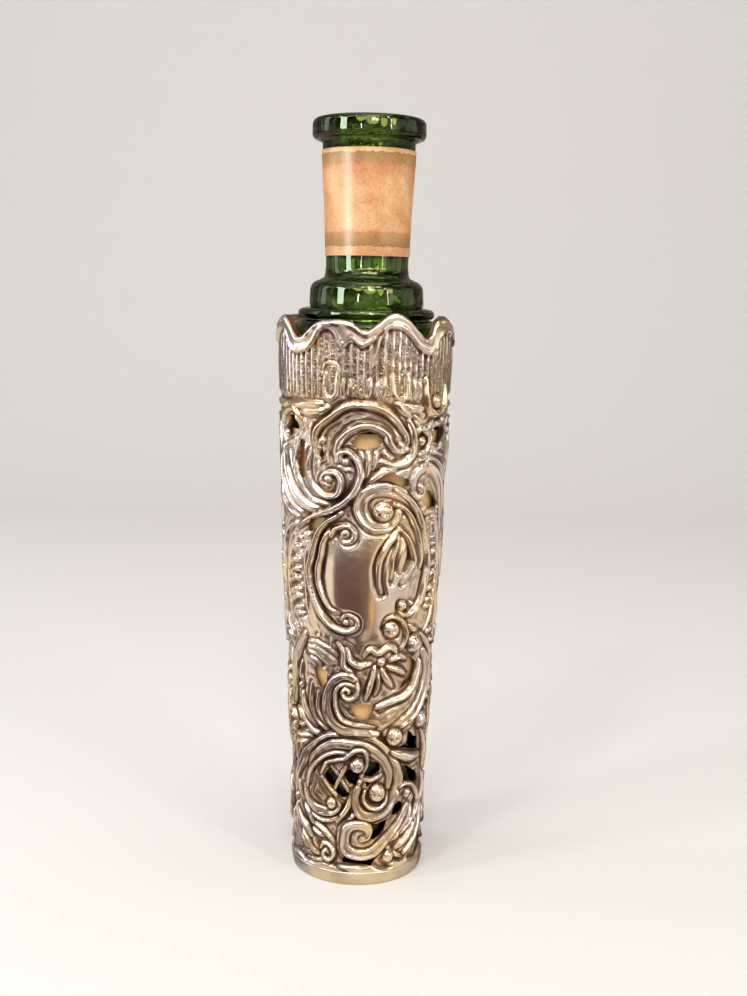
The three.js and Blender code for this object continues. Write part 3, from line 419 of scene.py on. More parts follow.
def web_form(x):
    return (1 - np.abs(x) ** 3).clip(0, 1) ** 0.9


def fat_form(x):
    return (1 - np.abs(x) ** 2.4).clip(0, 1) ** 0.75


STRAND_PITCH, STRAND_REACH = 1.5, 6
chased_lines = []
for form, lines in (
    (web_form, webs), (rib_form, round_ribs), (hollow_form, hollow_scrolls), (rimmed_form, rimmed_scrolls),
    (fat_form, fat_scrolls), (rib_form, crowning_ribs),
):
    for half_width, rise, *points in lines:
        for line in round_the_sleeve(points):
            *near, along, side = near_line(line, abs(half_width) + STRAND_REACH)
            width = abs(half_width) * (0.42 + 0.58 * np.sqrt(np.sin(math.pi * np.clip(along, 0.02, 0.98))))
            chased_lines.append((form, rise, *near, width, side * np.sign(half_width)))
LOBE_SEED, LOBE_REACH = 11, 2.8
lobes = np.random.default_rng(LOBE_SEED)
for start, end, reach, count in ruffles:
    for i in range(count):
        t = (i + 0.22 * lobes.uniform(-1, 1)) / (count - 1)
        u, v = (s + (e - s) * t for s, e in zip(start, end))
        u += 0.25 * reach[0] * math.sin(math.pi * t)
        long, drop, fat = lobes.uniform((0.8, -0.5, 0.62), (1.15, 0.6, 0.98))
        over, down = long * reach[0], reach[1] + drop
        for line in round_the_sleeve([(u, v), (u + 0.5 * over, v + 0.25 * down + 0.3), (u + over, v + down)]):
            *near, along, side = near_line(line, LOBE_REACH)
            chased_lines.insert(0, (rib_form, 0.95, *near, fat * (0.6 + 0.4 * np.sin(math.pi * along)), side))

# Chased strands fill the ground: they echo the drawn lines at an even pitch, but not at the foot and rim
outside = np.full(U.shape, float(STRAND_REACH))
for form, rise, rows, columns, away, width, side in chased_lines:
    outside[rows, columns] = np.minimum(outside[rows, columns], away - width)
waver = 0.18 * np.sin(0.9 * U + 0.5 * V) + 0.14 * np.sin(1.3 * V - 0.7 * U + 1)
waver = waver + 0.1 * np.sin(2.3 * U + 1.9 * V)
strand = np.clip(outside, 0, STRAND_REACH) + waver * (outside > 0.3)
relief = 0.15 * (1 - np.cos(2 * math.pi * strand / STRAND_PITCH))
relief *= np.clip((V - 3.6) / 0.8, 0, 1) * np.clip((BAND_FOOT - 1.2 - V) / 0.8, 0, 1)

# The smooth shield of the cartouche swells gently
SHIELD_U, SHIELD_V, SHIELD_HALF_WIDTH, SHIELD_HALF_HEIGHT, SWELL = 1.6, 70, 9.6, 14.8, 1.25
shield = ((U - SHIELD_U) / SHIELD_HALF_WIDTH) ** 2 + ((V - SHIELD_V) / SHIELD_HALF_HEIGHT) ** 2
inside_shield = shield < 1
relief[inside_shield] = SWELL * (1 - shield[inside_shield]) ** 0.55
outside[inside_shield] = -1


# Pierced sleeve: its reeded band and rolled rim
# The same sheet, chased into upright reeds over matted ground, with wider bars low down and looped fingers.
# Its scalloped edge is turned over into a rolled border.
REED_PITCH, BAR_PITCH = 1.3, 1.62
band = (V > BAND_FOOT) & (V < at_rim)
border_line = through(border)
at_border = np.interp(U, border_line[:, 0], border_line[:, 1])
reed_phase = U / REED_PITCH + 0.12 * np.sin(0.8 * U) + 0.03 * np.sin(0.5 * V)
reed_across = np.abs((reed_phase % 1) - 0.5) * 2
reed = 0.9 * np.exp(-(((1 - reed_across) / 0.34) ** 2))
# Worn patches: left, right and foot
for left, right, low in ((4.4, 11.4, 115.2), (-9.4, -4.4, 116.6), (-1.8, 0.6, 116.4)):
    patch = np.clip(np.minimum(U - left, right - U) / 0.5, 0, 1)
    patch = patch * np.clip((V - low + 0.4 * np.sin(2 * U)) / 0.6, 0, 1)
    reed *= 1 - 0.85 * patch
    reed += patch * (0.12 + 0.14 * np.sin(7.5 * V + 2 * U) * np.sin(6.4 * U - V))
matting = 0.1 * np.sin(2 * math.pi * V / 0.8 + 3 * np.floor(reed_phase + 0.5)) * np.sin(4.2 * U + 1.1 * V)
strip = 0.1 + matting * (reed_across < 0.6)
bar = 0.62 * np.clip(1 - reed_across**6, 0, 1) * (np.abs(((hand_u / BAR_PITCH) % 1) - 0.5) < 0.4)
low_bars = (V < 112.4) & (((U > -4.6) & (U < 4)) | ((U > 9.2) & (U < 12.8)))
foot_wave = BAND_FOOT + 0.8 + 0.5 * np.sin(1.7 * np.floor(reed_phase)) ** 2
in_reeds = band & (V > foot_wave) & (V < at_border)
relief[band] = 0.12
relief[in_reeds] = np.where(low_bars, bar, np.maximum(reed, strip))[in_reeds]
for u, low, high, radius in band_fingers:
    for shift in (-PERIOD, 0, PERIOD):
        away = np.hypot(U - u - shift, V - np.clip(V, low + radius, high - radius))
        relief[(away < radius) & band] = 0.16
from_rim, from_border = at_rim - V, V - at_border
drips = 0.26 * np.sin(1.9 * U + 0.8 * np.sin(0.7 * U)) * np.sin(1.1 * V + 0.6 * U)
roll = (0.3 + drips) * np.exp(-(((from_rim - 0.65) / 0.45) ** 2))
roll += (0.4 + 0.6 * drips) * np.exp(-(((from_border - 0.5) / 0.42) ** 2))
border_form = (0.72 + roll) * np.sqrt(np.clip(np.minimum(from_rim / 0.5 + 0.2, from_border / 0.35), 0, 1))
in_border = band & (V >= at_border)
relief[in_border] = np.maximum(border_form, 0.15)[in_border]
relief -= 0.25 * np.exp(-(((V - at_border + 0.3) / 0.3) ** 2)) * (V < at_border) * band


# Pierced sleeve: lines and beads chased over the ground
# Scrolls, leaves and ribs are raised in turn, then the domed beads, each with a groove round it.
# The strip above the foot stays plain.
worked = np.zeros(U.shape)


def chase(rows, columns, away, width, height):
    """Raises a form over what is there: covered ground sinks, and a groove runs beside the form."""
    under = relief[rows, columns]
    beside = np.exp(-((np.clip(away - width, 0, None) / (0.7 * GROOVE)) ** 2)) * (away >= width)
    under = np.where(away < width, 0.12 * under, under * (1 - 0.8 * beside) - 0.28 * beside)
    relief[rows, columns] = np.where(away < width, np.maximum(under, height), under)
    worked[rows, columns] = np.where(away < width + 0.25, 1, worked[rows, columns])


for form, rise, rows, columns, away, width, side in chased_lines:
    near = away < width + 2 * GROOVE
    if not near.any():
        continue
    r, c, a, w = rows[near], columns[near], away[near], width[near]
    chase(r, c, a, w, rise * form(side[near] * np.clip(a / w, 0, 1)) * np.clip(w / w.max(), 0.6, 1))
for u, v, radius in beads:
    swirled, pitted = radius > 1.55, radius > 0.9
    for shift in (-PERIOD, 0, PERIOD):
        right, up = U - u - shift, V - v
        away = np.hypot(right, up)
        r, c = np.nonzero(away < radius + 2 * GROOVE)
        if len(r):
            a, right, up = away[r, c], right[r, c], up[r, c]
            dome = (0.4 + radius * 0.6) * np.sqrt(np.clip(1 - (a / radius) ** 2, 0, 1))
            pit = (0.4 + 0.4 * swirled) * np.exp(-((np.hypot(right - 0.2, up + 0.15) / 0.4) ** 2)) * pitted
            turn = np.arctan2(up, right) / (2 * math.pi)
            swirl = np.exp(-((((1.3 * a / radius - turn) % 1 - 0.5) / 0.13) ** 2)) * (a < 0.85 * radius)
            chase(r, c, a, np.full(len(a), radius), dome - pit - 0.22 * swirl * swirled)
            outside[r, c] = np.minimum(outside[r, c], a - radius)

plain = np.clip((3.9 + 0.5 * np.sin(0.6 * U) - V) / 0.4, 0, 1)
relief = relief * (1 - plain) + 0.72 * plain
# Slow waves of hand work, which the shield is free of
unevenness = np.where(inside_shield, worked, 1)
relief += 0.05 * unevenness * np.sin(0.55 * U + 0.21 * V) * np.sin(0.33 * V - 0.4 * U)
relief += 0.03 * unevenness * np.sin(1.9 * U + 1.3 * V)


def blurred(field, times):
    """The field averaged with its neighbours, wrapped round in u."""
    f = field[:, :-1]
    for _ in range(times):
        f = (np.roll(f, 1, 1) + f + np.roll(f, -1, 1)) / 3
        padded = np.vstack([f[:1], f, f[-1:]])
        f = (padded[:-2] + padded[1:-1] + padded[2:]) / 3
    return np.hstack([f, f[:, :1]])


POLISHING, TARNISH_SPREAD = 3, 45
relief = blurred(relief, POLISHING)
recess = relief - blurred(relief, TARNISH_SPREAD)
banded = blurred(in_reeds * (1 - worked), 2)
relief, recess, outside, U, V, reed_phase, banded = (
    field[::FINER, ::FINER] for field in (relief, recess, outside, U, V, reed_phase, banded)
)


# Pierced sleeve: the sheet, bent round
# The sheet is bent to a slight taper and soldered; the openings are sawn out and their edges dressed smooth.
# Front and back halves carry the same drawing, half a turn apart.
MM = 0.001
SHEET = 0.6
GROUND_HEIGHTS = [0, 20, 40, 60, 80, 100, 123]
GROUND_RADII = [14.1, 14.6, 15.5, 16.4, 17.3, 17.95, 18.5]


def bent(u, v, rise, turn):
    angle = u / PERIOD * math.pi + turn
    r = np.interp(v, GROUND_HEIGHTS, GROUND_RADII) + rise
    return np.stack([r * np.sin(angle), -r * np.cos(angle), v], -1)


def inside_and_distance(outline, p):
    """Signed distance from points to a closed outline, negative inside."""
    best = np.full(len(p), 1e9)
    within = np.zeros(len(p), bool)
    for a, b in zip(outline, np.roll(outline, -1, 0)):
        step = b - a
        t = np.clip((p - a) @ step / (step @ step), 0, 1)
        best = np.minimum(best, np.hypot(*(p - a - t[:, None] * step).T))
        crosses = (a[1] > p[:, 1]) != (b[1] > p[:, 1])
        rise = np.where(abs(step[1]) > 1e-12, step[1], 1)
        within ^= crosses & (p[:, 0] < a[0] + (p[:, 1] - a[1]) * step[0] / rise)
    return np.where(within, -best, best)


def openness(u, v, clear):
    """Distance to the nearest opening, negative in it; the drawn lines stay whole."""
    p = np.stack([u.ravel(), v.ravel()], 1)
    field = np.full(len(p), 4.0)
    for points in openings:
        for shift in (-PERIOD, 0, PERIOD):
            outline = np.array([(a + shift, b) for a, b in points], float)
            low, high = outline.min(0) - 2, outline.max(0) + 2
            close = np.nonzero((p > low).all(1) & (p < high).all(1))[0]
            if len(close):
                field[close] = np.minimum(field[close], inside_and_distance(outline, p[close]))
    return np.maximum(field.reshape(u.shape), 0.12 - clear)


def cut_sheet(u, v, hole, pitch):
    """Moves points close to the openings' edges on to them, and returns the faces that are left."""
    by_v, by_u = np.gradient(hole)
    du, dv = np.gradient(u, axis=1), np.gradient(v, axis=0)
    slope_u, slope_v = by_u / du, by_v / dv
    steep = np.maximum(slope_u**2 + slope_v**2, 0.25)
    snap = np.abs(hole) < 0.5 * pitch
    u = np.where(snap, u - hole * slope_u / steep, u)
    v = np.where(snap, v - hole * slope_v / steep, v)
    hole = np.where(snap, 0, hole)
    k = np.arange(u.size).reshape(u.shape)
    quads = np.stack([k[:-1, :-1], k[:-1, 1:], k[1:, 1:], k[1:, :-1]], -1).reshape(-1, 4)
    solid = hole.ravel()[quads] > 0
    corners = solid.sum(1)
    left = quads[corners >= 2].tolist()
    for quad, is_solid in zip(quads[corners == 1], solid[corners == 1]):
        k = int(np.argmax(is_solid))
        left.append([int(quad[k - 1]), int(quad[k]), int(quad[(k + 1) % 4])])
    return u, v, left


def sawn_edges(faces):
    """The edges that only one face has, in that face's direction."""
    directed = [(a, b) for face in faces for a, b in zip(face, face[1:] + face[:1])]
    taken = set(directed)
    return [(a, b) for a, b in directed if (b, a) not in taken]


hole = openness(U, V, outside)
cut_u, cut_v, outer_faces = cut_sheet(U, V, hole, PERIOD / COLUMNS)
by_v, by_u = np.gradient(relief)
lifted = relief + by_u / np.gradient(U, axis=1) * (cut_u - U) + by_v / np.gradient(V, axis=0) * (cut_v - V)
edges = sawn_edges(outer_faces)
# The hidden inner face is coarser, and its openings are a little wider
COARSER, WIDER = 3, 0.25
inner_u, inner_v, inner_hole = (field[::COARSER, ::COARSER] for field in (U, V, hole))
inner_u, inner_v, inner_faces = cut_sheet(inner_u, inner_v, inner_hole - WIDER, COARSER * PERIOD / COLUMNS)


def sleeve_half(name, turn):
    """Outer face, walls of the openings and inner face of one half, with what its finish reads."""
    outer = bent(cut_u, cut_v, lifted, turn).reshape(-1, 3)
    depth = bent(cut_u, cut_v, np.full(U.shape, -SHEET), turn).reshape(-1, 3)
    inner = bent(inner_u, inner_v, np.full(inner_u.shape, -SHEET), turn).reshape(-1, 3)
    rims = sorted({k for edge in edges for k in edge})
    order = {k: i for i, k in enumerate(rims)}
    first_wall = len(outer)
    first_inner = first_wall + 2 * len(rims)
    seams = {0, COLUMNS}
    faces = list(outer_faces)
    for a, b in edges:
        if a % (COLUMNS + 1) in seams and b % (COLUMNS + 1) in seams:
            continue
        i, j = first_wall + order[a], first_wall + order[b]
        faces.append([j, i, i + len(rims), j + len(rims)])
    faces += [[first_inner + k for k in reversed(face)] for face in inner_faces]
    points = np.vstack([outer, outer[rims], depth[rims], inner]) * MM
    mesh = bpy.data.meshes.new(name)
    mesh.from_pydata(points.tolist(), [], faces)
    mesh.validate()
    mesh.polygons.foreach_set("use_smooth", [True] * len(mesh.polygons))
    made = bpy.data.objects.new(name, mesh)
    bpy.context.scene.collection.objects.link(made)
    for label, field, deep, behind in (
        ("recess", recess, -0.3, -0.15), ("reeds", reed_phase, 0, 0), ("banded", banded, 0, 0),
    ):
        flat = field.ravel()
        values = np.concatenate([flat, flat[rims], np.full(len(rims), deep), np.full(len(inner), behind)])
        attribute = mesh.attributes.new(label, "FLOAT", "POINT")
        attribute.data.foreach_set("value", values.astype(np.float32))
    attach(made, "case")
    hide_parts("case_body")
    return made


sleeve_front = sleeve_half("sleeve_front", 0)
sleeve_back = sleeve_half("sleeve_back", math.pi)


# Pierced sleeve: its silver
# Worn bright on the raised work, with dark tarnish left in the recesses and a warm cast in places.
# The ground between the reeds is matted with fine punch marks.
class Finish:
    """A finish made of nodes; each input is another node's output or a plain value."""

    def __init__(self, name, owner=None, surface="Principled BSDF"):
        self.owner = owner or bpy.data.materials.new(name)
        self.owner.use_nodes = True
        self.tree = self.owner.node_tree
        self.surface_node = self.tree.nodes[surface]

    def fill(self, node, inputs):
        for key, value in inputs.items():
            if isinstance(value, bpy.types.NodeSocket):
                self.tree.links.new(value, node.inputs[key])
            else:
                node.inputs[key].default_value = value
        return node

    def add(self, kind, output, inputs, **settings):
        node = self.tree.nodes.new("ShaderNode" + kind)
        for key, value in settings.items():
            setattr(node, key, value)
        return self.fill(node, inputs).outputs[output]

    def surface(self, inputs):
        self.fill(self.surface_node, inputs)

    def place(self):
        return self.add("TexCoord", "Object", {})

    def along(self, axis):
        return self.add("SeparateXYZ", axis, {"Vector": self.place()})

    def attribute(self, name):
        return self.add("Attribute", "Fac", {}, attribute_name=name)

    def noise(self, scale, detail, vector=None):
        vector = self.place() if vector is None else vector
        return self.add("TexNoise", "Fac", {"Scale": scale, "Detail": detail, "Vector": vector})

    def mapped(self, value, low, high, to_low=0.0, to_high=1.0):
        ends = {"From Min": low, "From Max": high, "To Min": to_low, "To Max": to_high}
        return self.add("MapRange", "Result", {"Value": value, **ends})

    def maths(self, operation, *values):
        return self.add("Math", 0, dict(enumerate(values)), operation=operation)

    def mix(self, factor, a, b, blend="MIX"):
        inputs = {"Factor": factor, "A": a, "B": b}
        return self.add("Mix", "Result", inputs, data_type="RGBA", blend_type=blend)

    def ramp(self, value, stops):
        """The colour at value between stops, each a place and its red, green and blue."""
        node = self.tree.nodes.new("ShaderNodeValToRGB")
        while len(node.color_ramp.elements) < len(stops):
            node.color_ramp.elements.new(0.5)
        for element, (place, colour) in zip(node.color_ramp.elements, stops):
            element.position = place
            element.color = (*colour, 1)
        return self.fill(node, {"Fac": value}).outputs["Color"]

    def bump(self, height, distance):
        inputs = {"Strength": 1, "Distance": distance, "Height": height}
        self.surface({"Normal": self.add("Bump", "Normal", inputs)})


silver = Finish("chased_silver")
# Painted shade: the silver darkens from 75 mm down to 40 mm and stays fully darkened below, through the same
# ramp as the tarnish
painted_foot_shade = silver.mapped(silver.along("Z"), 0.04, 0.075, -0.14, 0)
depth = silver.maths("ADD", silver.attribute("recess"), painted_foot_shade)
wear_tarnish_and_foot_shade = silver.maths("MULTIPLY_ADD", silver.noise(120, 3), 0.25, depth)
tone = silver.ramp(silver.mapped(wear_tarnish_and_foot_shade, -0.35, 0.45), [
    (0.0, (0.08, 0.045, 0.03)), (0.28, (0.32, 0.22, 0.16)), (0.48, (0.86, 0.78, 0.68)),
    (0.75, (1, 0.96, 0.89)),
])
cast = silver.ramp(silver.noise(90, 2), [
    (0.38, (0.88, 0.86, 0.96)), (0.52, (1, 0.98, 0.97)), (0.64, (1, 0.9, 0.72)),
])
from_reed = silver.maths("PINGPONG", silver.attribute("reeds"), 0.5)
in_band = silver.mapped(silver.attribute("banded"), 0.3, 0.9)
gap = silver.maths("MULTIPLY", silver.mapped(from_reed, 0.14, 0.24), in_band)
hatching = silver.noise(1700, 3)
specks = silver.maths("MULTIPLY", gap, silver.mapped(hatching, 0.62, 0.42, 0.35, 1))
tinted = silver.mix(1, tone, cast, "MULTIPLY")
silver.surface({
    "Base Color": silver.mix(specks, tinted, (0.42, 0.33, 0.28, 1), "MULTIPLY"),
    "Metallic": 1,
    "Roughness": silver.mapped(wear_tarnish_and_foot_shade, -0.3, 0.2, 0.36, 0.16),
})
matted = silver.maths("MULTIPLY", gap, silver.mapped(hatching, 0.3, 0.7, 0, 5))
silver.bump(silver.maths("ADD", silver.noise(460, 7), matted), 0.00005)
for half in (sleeve_front, sleeve_back):
    half.data.materials.append(silver.owner)


# Base collar and disc
# A plain band of silver soldered round the sleeve's foot, and the flat silver disc that closes the bottom.
# Both are turned here, and the frame gives their places and sizes.
TURN_STEPS = 128


def arc(centre, radius, start, end, steps=8):
    """Points of an arc in a profile, angles in degrees from +r towards +z."""
    turn = np.radians(np.linspace(start, end, steps + 1))
    return [(centre[0] + radius * math.cos(a), centre[1] + radius * math.sin(a)) for a in turn]


def drawn_line(name, points):
    """A line through points in mm: a plane shrunk to one corner, extruded from each place to the next."""
    bpy.ops.object.select_all(action="DESELECT")
    bpy.ops.mesh.primitive_plane_add(size=MM, calc_uvs=False)
    made = bpy.context.object
    made.name = made.data.name = name
    bpy.ops.object.mode_set(mode="EDIT")
    bpy.ops.mesh.merge(type="CENTER")
    places = [Vector(point) * MM for point in points]
    bpy.ops.transform.translate(value=places[0])
    for here, there in zip(places, places[1:]):
        bpy.ops.mesh.extrude_region_move(TRANSFORM_OT_translate={"value": there - here})
    bpy.ops.mesh.select_all(action="SELECT")
    return made


def turned(name, profile):
    """A piece spun about the vertical axis from a profile of radius and height.

    Where the profile's two ends meet they are welded, and the edge there stays crisp.
    """
    made = drawn_line(name, [(r, 0, z) for r, z in profile])
    bpy.ops.mesh.spin(steps=TURN_STEPS, angle=2 * math.pi, center=(0, 0, 0), axis=(0, 0, 1))
    bpy.ops.mesh.select_all(action="DESELECT")
    bpy.ops.mesh.select_non_manifold()
    bpy.ops.mesh.mark_sharp()
    bpy.ops.mesh.select_all(action="SELECT")
    bpy.ops.mesh.remove_doubles(threshold=0.001 * MM)
    bpy.ops.mesh.normals_make_consistent(inside=False)
    bpy.ops.object.mode_set(mode="OBJECT")
    bpy.ops.object.shade_smooth()
    return made


COLLAR_WALL = 0.6
collar_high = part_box("base_collar")[1]
collar_radius, collar_top = collar_high.x / MM, collar_high.z / MM
collar_bore = collar_radius - COLLAR_WALL
collar = turned("collar", [
    (collar_bore, 0.05), (collar_radius - 0.5, 0.05), (collar_radius - 0.42, 0.2),
    (collar_radius - 0.1, collar_top * 0.55), *arc((collar_radius - 0.3, collar_top - 0.5), 0.3, 0, 90, 6),
    (collar_bore, collar_top - 0.1), (collar_bore, 0.05),
])
disc_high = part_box("base_disc")[1]
disc_radius, disc_top = disc_high.x / MM, disc_high.z / MM
disc = turned("disc", [
    (0, 0.25), (disc_radius - 2, 0.25), (disc_radius - 1.4, 0),
    (disc_radius - 0.1, 0), (disc_radius, 0.1), (disc_radius, disc_top), (0, disc_top),
])
plain_silver = Finish("plain_silver")
cloud = plain_silver.noise(160, 5)
plain_silver.surface({
    "Base Color": plain_silver.ramp(cloud, [(0.3, (0.62, 0.56, 0.48)), (0.7, (0.93, 0.89, 0.82))]),
    "Metallic": 1,
    "Roughness": plain_silver.mapped(cloud, 0.3, 0.7, 0.3, 0.16),
})
plain_silver.bump(plain_silver.noise(500, 5), 0.00004)
for piece, node in ((collar, "base_collar"), (disc, "base_disc")):
    piece.data.materials.append(plain_silver.owner)
    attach(piece, "case")
    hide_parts(node)


# Bottle
# Dark green blown glass with a stepped shoulder and a turned-over lip, which stands loose in the case.
# It has a real wall, so light bends through it, and its heights follow the frame's foot and lip.
bottle_low, bottle_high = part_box("bottle")
foot_z, lip_z, body_r = bottle_low.z / MM, bottle_high.z / MM, bottle_high.x / MM
foot_r = body_r - 4.2
foot_edge_z, shoulder_z = foot_z + 1.7, lip_z - 45.3
neck = [(8.9, 31), (8.95, 27), (9.15, 20), (9.5, 14), (9.85, 8), (9.95, 5)]
neck = [(radius, lip_z - below) for radius, below in neck]
bottle = turned("bottle", [
    (0, foot_z + 1.2), (foot_r * 0.55, foot_z + 1), (foot_r - 3, foot_z + 0.1),
    *arc((foot_r - 1.7, foot_edge_z), 1.7, -80, 0, 8),
    (body_r - 0.02, shoulder_z), *arc((body_r - 3, lip_z - 45.1), 3, 8, 70, 8),
    (13.6, lip_z - 41.9), *arc((13.7, lip_z - 40.8), 1.1, -60, 84, 10), (12.5, lip_z - 39.4),
    *arc((10.9, lip_z - 38.6), 1.5, -40, 0, 4), (12.35, lip_z - 37.4),
    *arc((9.9, lip_z - 36), 2.4, 10, 80, 8), (9.2, lip_z - 33), *neck,
    *arc((10.9, lip_z - 3.1), 1.25, -100, 0, 8), *arc((10.95, lip_z - 1.15), 1.15, 0, 95, 8),
    (9, lip_z - 0.15), (7.4, lip_z - 0.5), *arc((7.3, lip_z - 1.8), 1.3, 90, 180, 6),
    (6, lip_z - 8), (6, lip_z - 34), (6.4, lip_z - 36), (9.6, lip_z - 38), (10, lip_z - 40), (12, lip_z - 43),
    (body_r - 2.4, lip_z - 46.5), (body_r - 2.2, lip_z - 49), (foot_r - 2.1, foot_z + 6),
    *arc((foot_r - 4.4, foot_z + 5.4), 2.2, 0, -85, 6), (foot_r * 0.5, foot_z + 3.6), (0, foot_z + 4.2),
])
glass = Finish("green_glass")
cloud = glass.noise(60, 2)
glass.surface({
    "Base Color": glass.ramp(cloud, [(0.3, (0.42, 0.56, 0.22)), (0.7, (0.56, 0.68, 0.32))]),
    "Transmission Weight": 1,
    "Specular Tint": (0.78, 0.9, 0.66, 1),
    "IOR": 1.5,
    "Roughness": glass.mapped(cloud, 0.3, 0.7, 0.01, 0.04),
})
depth_of_green = glass.add("VolumeAbsorption", "Volume", {"Color": (0.5, 0.66, 0.3, 1), "Density": 450})
glass.fill(glass.tree.nodes["Material Output"], {"Volume": depth_of_green})
bottle.data.materials.append(glass.owner)
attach(bottle, "bottle")
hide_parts("bottle")


# Paper labels
# Thin paper, one glued round the neck with printed bands near its edges, one round the body inside the case.
# Both are aged and spotted; the frame gives their heights.
PAPER_OUT, PAPER_IN = 0.22, 0.06


def label(name, node, radius_at, rows):
    """A sleeve of paper close to the glass, whose radius at a height is given."""
    low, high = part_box(node)
    heights = np.linspace(low.z / MM, high.z / MM, rows + 1)
    face = [(radius_at(z) + PAPER_OUT, z) for z in heights]
    back = [(radius_at(z) + PAPER_IN, z) for z in heights[::-1]]
    made = turned(name, [*face, *back, face[0]])
    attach(made, "bottle")
    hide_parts(node)
    return made


def neck_radius(z):
    radii, heights = zip(*neck)
    return float(np.interp(z, heights, radii))


def body_radius(z):
    return foot_r + (body_r - foot_r) * (z - foot_edge_z) / (shoulder_z - foot_edge_z)


neck_label = label("label_neck", "neck_label", neck_radius, 24)
body_label = label("label_body", "body_label", body_radius, 8)

neck_low, neck_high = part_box("neck_label")
paper = Finish("label_paper")
height = paper.mapped(paper.along("Z"), neck_low.z, neck_high.z)
ragged = paper.maths("MULTIPLY_ADD", paper.noise(900, 3), 0.05, paper.mapped(height, 0, 1, -0.025, 0.975))
bands = paper.ramp(ragged, [
    (0.0, (0.86, 0.52, 0.28)), (0.085, (0.86, 0.52, 0.28)), (0.092, (0.42, 0.25, 0.09)),
    (0.2, (0.56, 0.34, 0.13)), (0.21, (0.66, 0.28, 0.13)), (0.235, (0.82, 0.48, 0.25)),
    (0.28, (0.86, 0.53, 0.26)), (0.72, (0.88, 0.55, 0.28)), (0.82, (0.78, 0.42, 0.23)),
    (0.85, (0.68, 0.34, 0.17)), (0.862, (0.54, 0.34, 0.14)), (0.955, (0.46, 0.28, 0.1)),
    (0.962, (0.92, 0.62, 0.36)),
])
speckle = paper.ramp(paper.noise(2600, 6), [
    (0.34, (0.7, 0.54, 0.4)), (0.5, (0.95, 0.95, 0.95)), (0.68, (1.0, 0.88, 0.8)),
])
stain = paper.ramp(paper.noise(190, 6), [(0.38, (0.82, 0.6, 0.46)), (0.6, (1, 1, 1))])
worn = paper.mix(0.7, bands, speckle, "MULTIPLY")
paper.surface({"Base Color": paper.mix(0.8, worn, stain, "MULTIPLY"), "Roughness": 0.34})
paper.bump(paper.noise(1400, 4), 0.00002)
neck_label.data.materials.append(paper.owner)

old_paper = Finish("label_paper_body")
spots = old_paper.ramp(old_paper.noise(130, 8), [
    (0.36, (0.42, 0.16, 0.05)), (0.48, (0.85, 0.5, 0.2)), (0.62, (0.95, 0.68, 0.34)),
])
old_paper.surface({"Base Color": spots, "Roughness": 0.6})
old_paper.bump(old_paper.noise(1400, 4), 0.00004)
body_label.data.materials.append(old_paper.owner)


# Setting
# A pale floor that curves up into a backdrop, and a pale room round it; both are only scenery.
# What the silver and the glass reflect is a darker table with strips of light, and a patchy room.
FLOOR_HALF_WIDTH = 1.6
curve = np.radians(np.arange(0, 91, 10))
floor_line = [(0.45 + 0.25 * math.sin(a), 0.25 - 0.25 * math.cos(a)) for a in curve]
floor_line = [(-0.9, 0.0), *floor_line, (0.7, 1.4)]
floor = drawn_line("floor", [(-FLOOR_HALF_WIDTH / MM, y / MM, z / MM) for y, z in floor_line])
bpy.ops.mesh.extrude_region_move(TRANSFORM_OT_translate={"value": (2 * FLOOR_HALF_WIDTH, 0, 0)})
bpy.ops.object.mode_set(mode="OBJECT")
bpy.ops.object.shade_smooth()
backdrop = Finish("backdrop")
table = backdrop.ramp(backdrop.noise(20, 3), [
    (0.4, (0.04, 0.02, 0.022)), (0.47, (0.2, 0.16, 0.15)), (0.53, (0.52, 0.46, 0.42)),
    (0.6, (0.7, 0.6, 0.42)),
])
slant = backdrop.maths("DIVIDE", backdrop.along("X"), backdrop.along("Y"))
across = backdrop.mapped(slant, -0.8, 2.4)
brown, gold, plum = (0.1, 0.05, 0.035), (1, 0.62, 0.12), (0.07, 0.02, 0.026)
strips = backdrop.ramp(across, [
    (0.0, (0.6, 0.52, 0.44)), (0.115, (0.5, 0.4, 0.3)), (0.125, brown), (0.138, brown), (0.143, gold),
    (0.168, gold), (0.173, brown), (0.245, brown), (0.27, plum), (0.66, plum), (0.74, (0.72, 0.63, 0.55)),
])
reach = backdrop.add("VectorMath", "Value", {0: backdrop.place()}, operation="LENGTH")
on_gold = backdrop.maths("COMPARE", across, 0.155, 0.017)
faded = backdrop.maths("MULTIPLY", on_gold, backdrop.mapped(reach, 0.17, 0.21))
striped = backdrop.mix(faded, strips, (0.38, 0.24, 0.17, 1))
reflected = backdrop.mix(backdrop.maths("COMPARE", reach, 0.26, 0.15), table, striped)
in_a_reflection = backdrop.add("LightPath", "Is Glossy Ray", {})
backdrop.surface({
    "Base Color": backdrop.mix(in_a_reflection, (0.82, 0.81, 0.79, 1), reflected),
    "Roughness": 0.9,
})
floor.data.materials.append(backdrop.owner)

room = Finish("room", bpy.data.worlds.new("room"), "Background")
bpy.context.scene.world = room.owner
towards = room.add("TexCoord", "Generated", {})
walls = room.ramp(room.noise(3.4, 4, towards), [
    (0.4, (0.05, 0.035, 0.03)), (0.46, (0.2, 0.15, 0.12)), (0.5, (0.46, 0.39, 0.31)),
    (0.57, (0.92, 0.82, 0.67)),
])
in_a_reflection = room.add("LightPath", "Is Glossy Ray", {})
room.surface({
    "Color": room.mix(in_a_reflection, (0.55, 0.54, 0.53, 1), walls),
    "Strength": room.mapped(in_a_reflection, 0, 1, 1, 1.35),
})


# Lamps
# A warm key from the left, with fill, overhead and side lamps, and small bright panes in the silver.
# The streaks light the glass alone, and the first of them glares on the neck label too.
def lamp(name, place, target, size, power, colour):
    light = bpy.data.lights.new(name, "AREA")
    light.shape = "RECTANGLE"
    light.size, light.size_y = size
    light.energy = power
    light.color = colour
    made = bpy.data.objects.new(name, light)
    made.location = place
    made.rotation_euler = (Vector(target) - Vector(place)).to_track_quat("-Z", "Y").to_euler()
    bpy.context.scene.collection.objects.link(made)
    return made


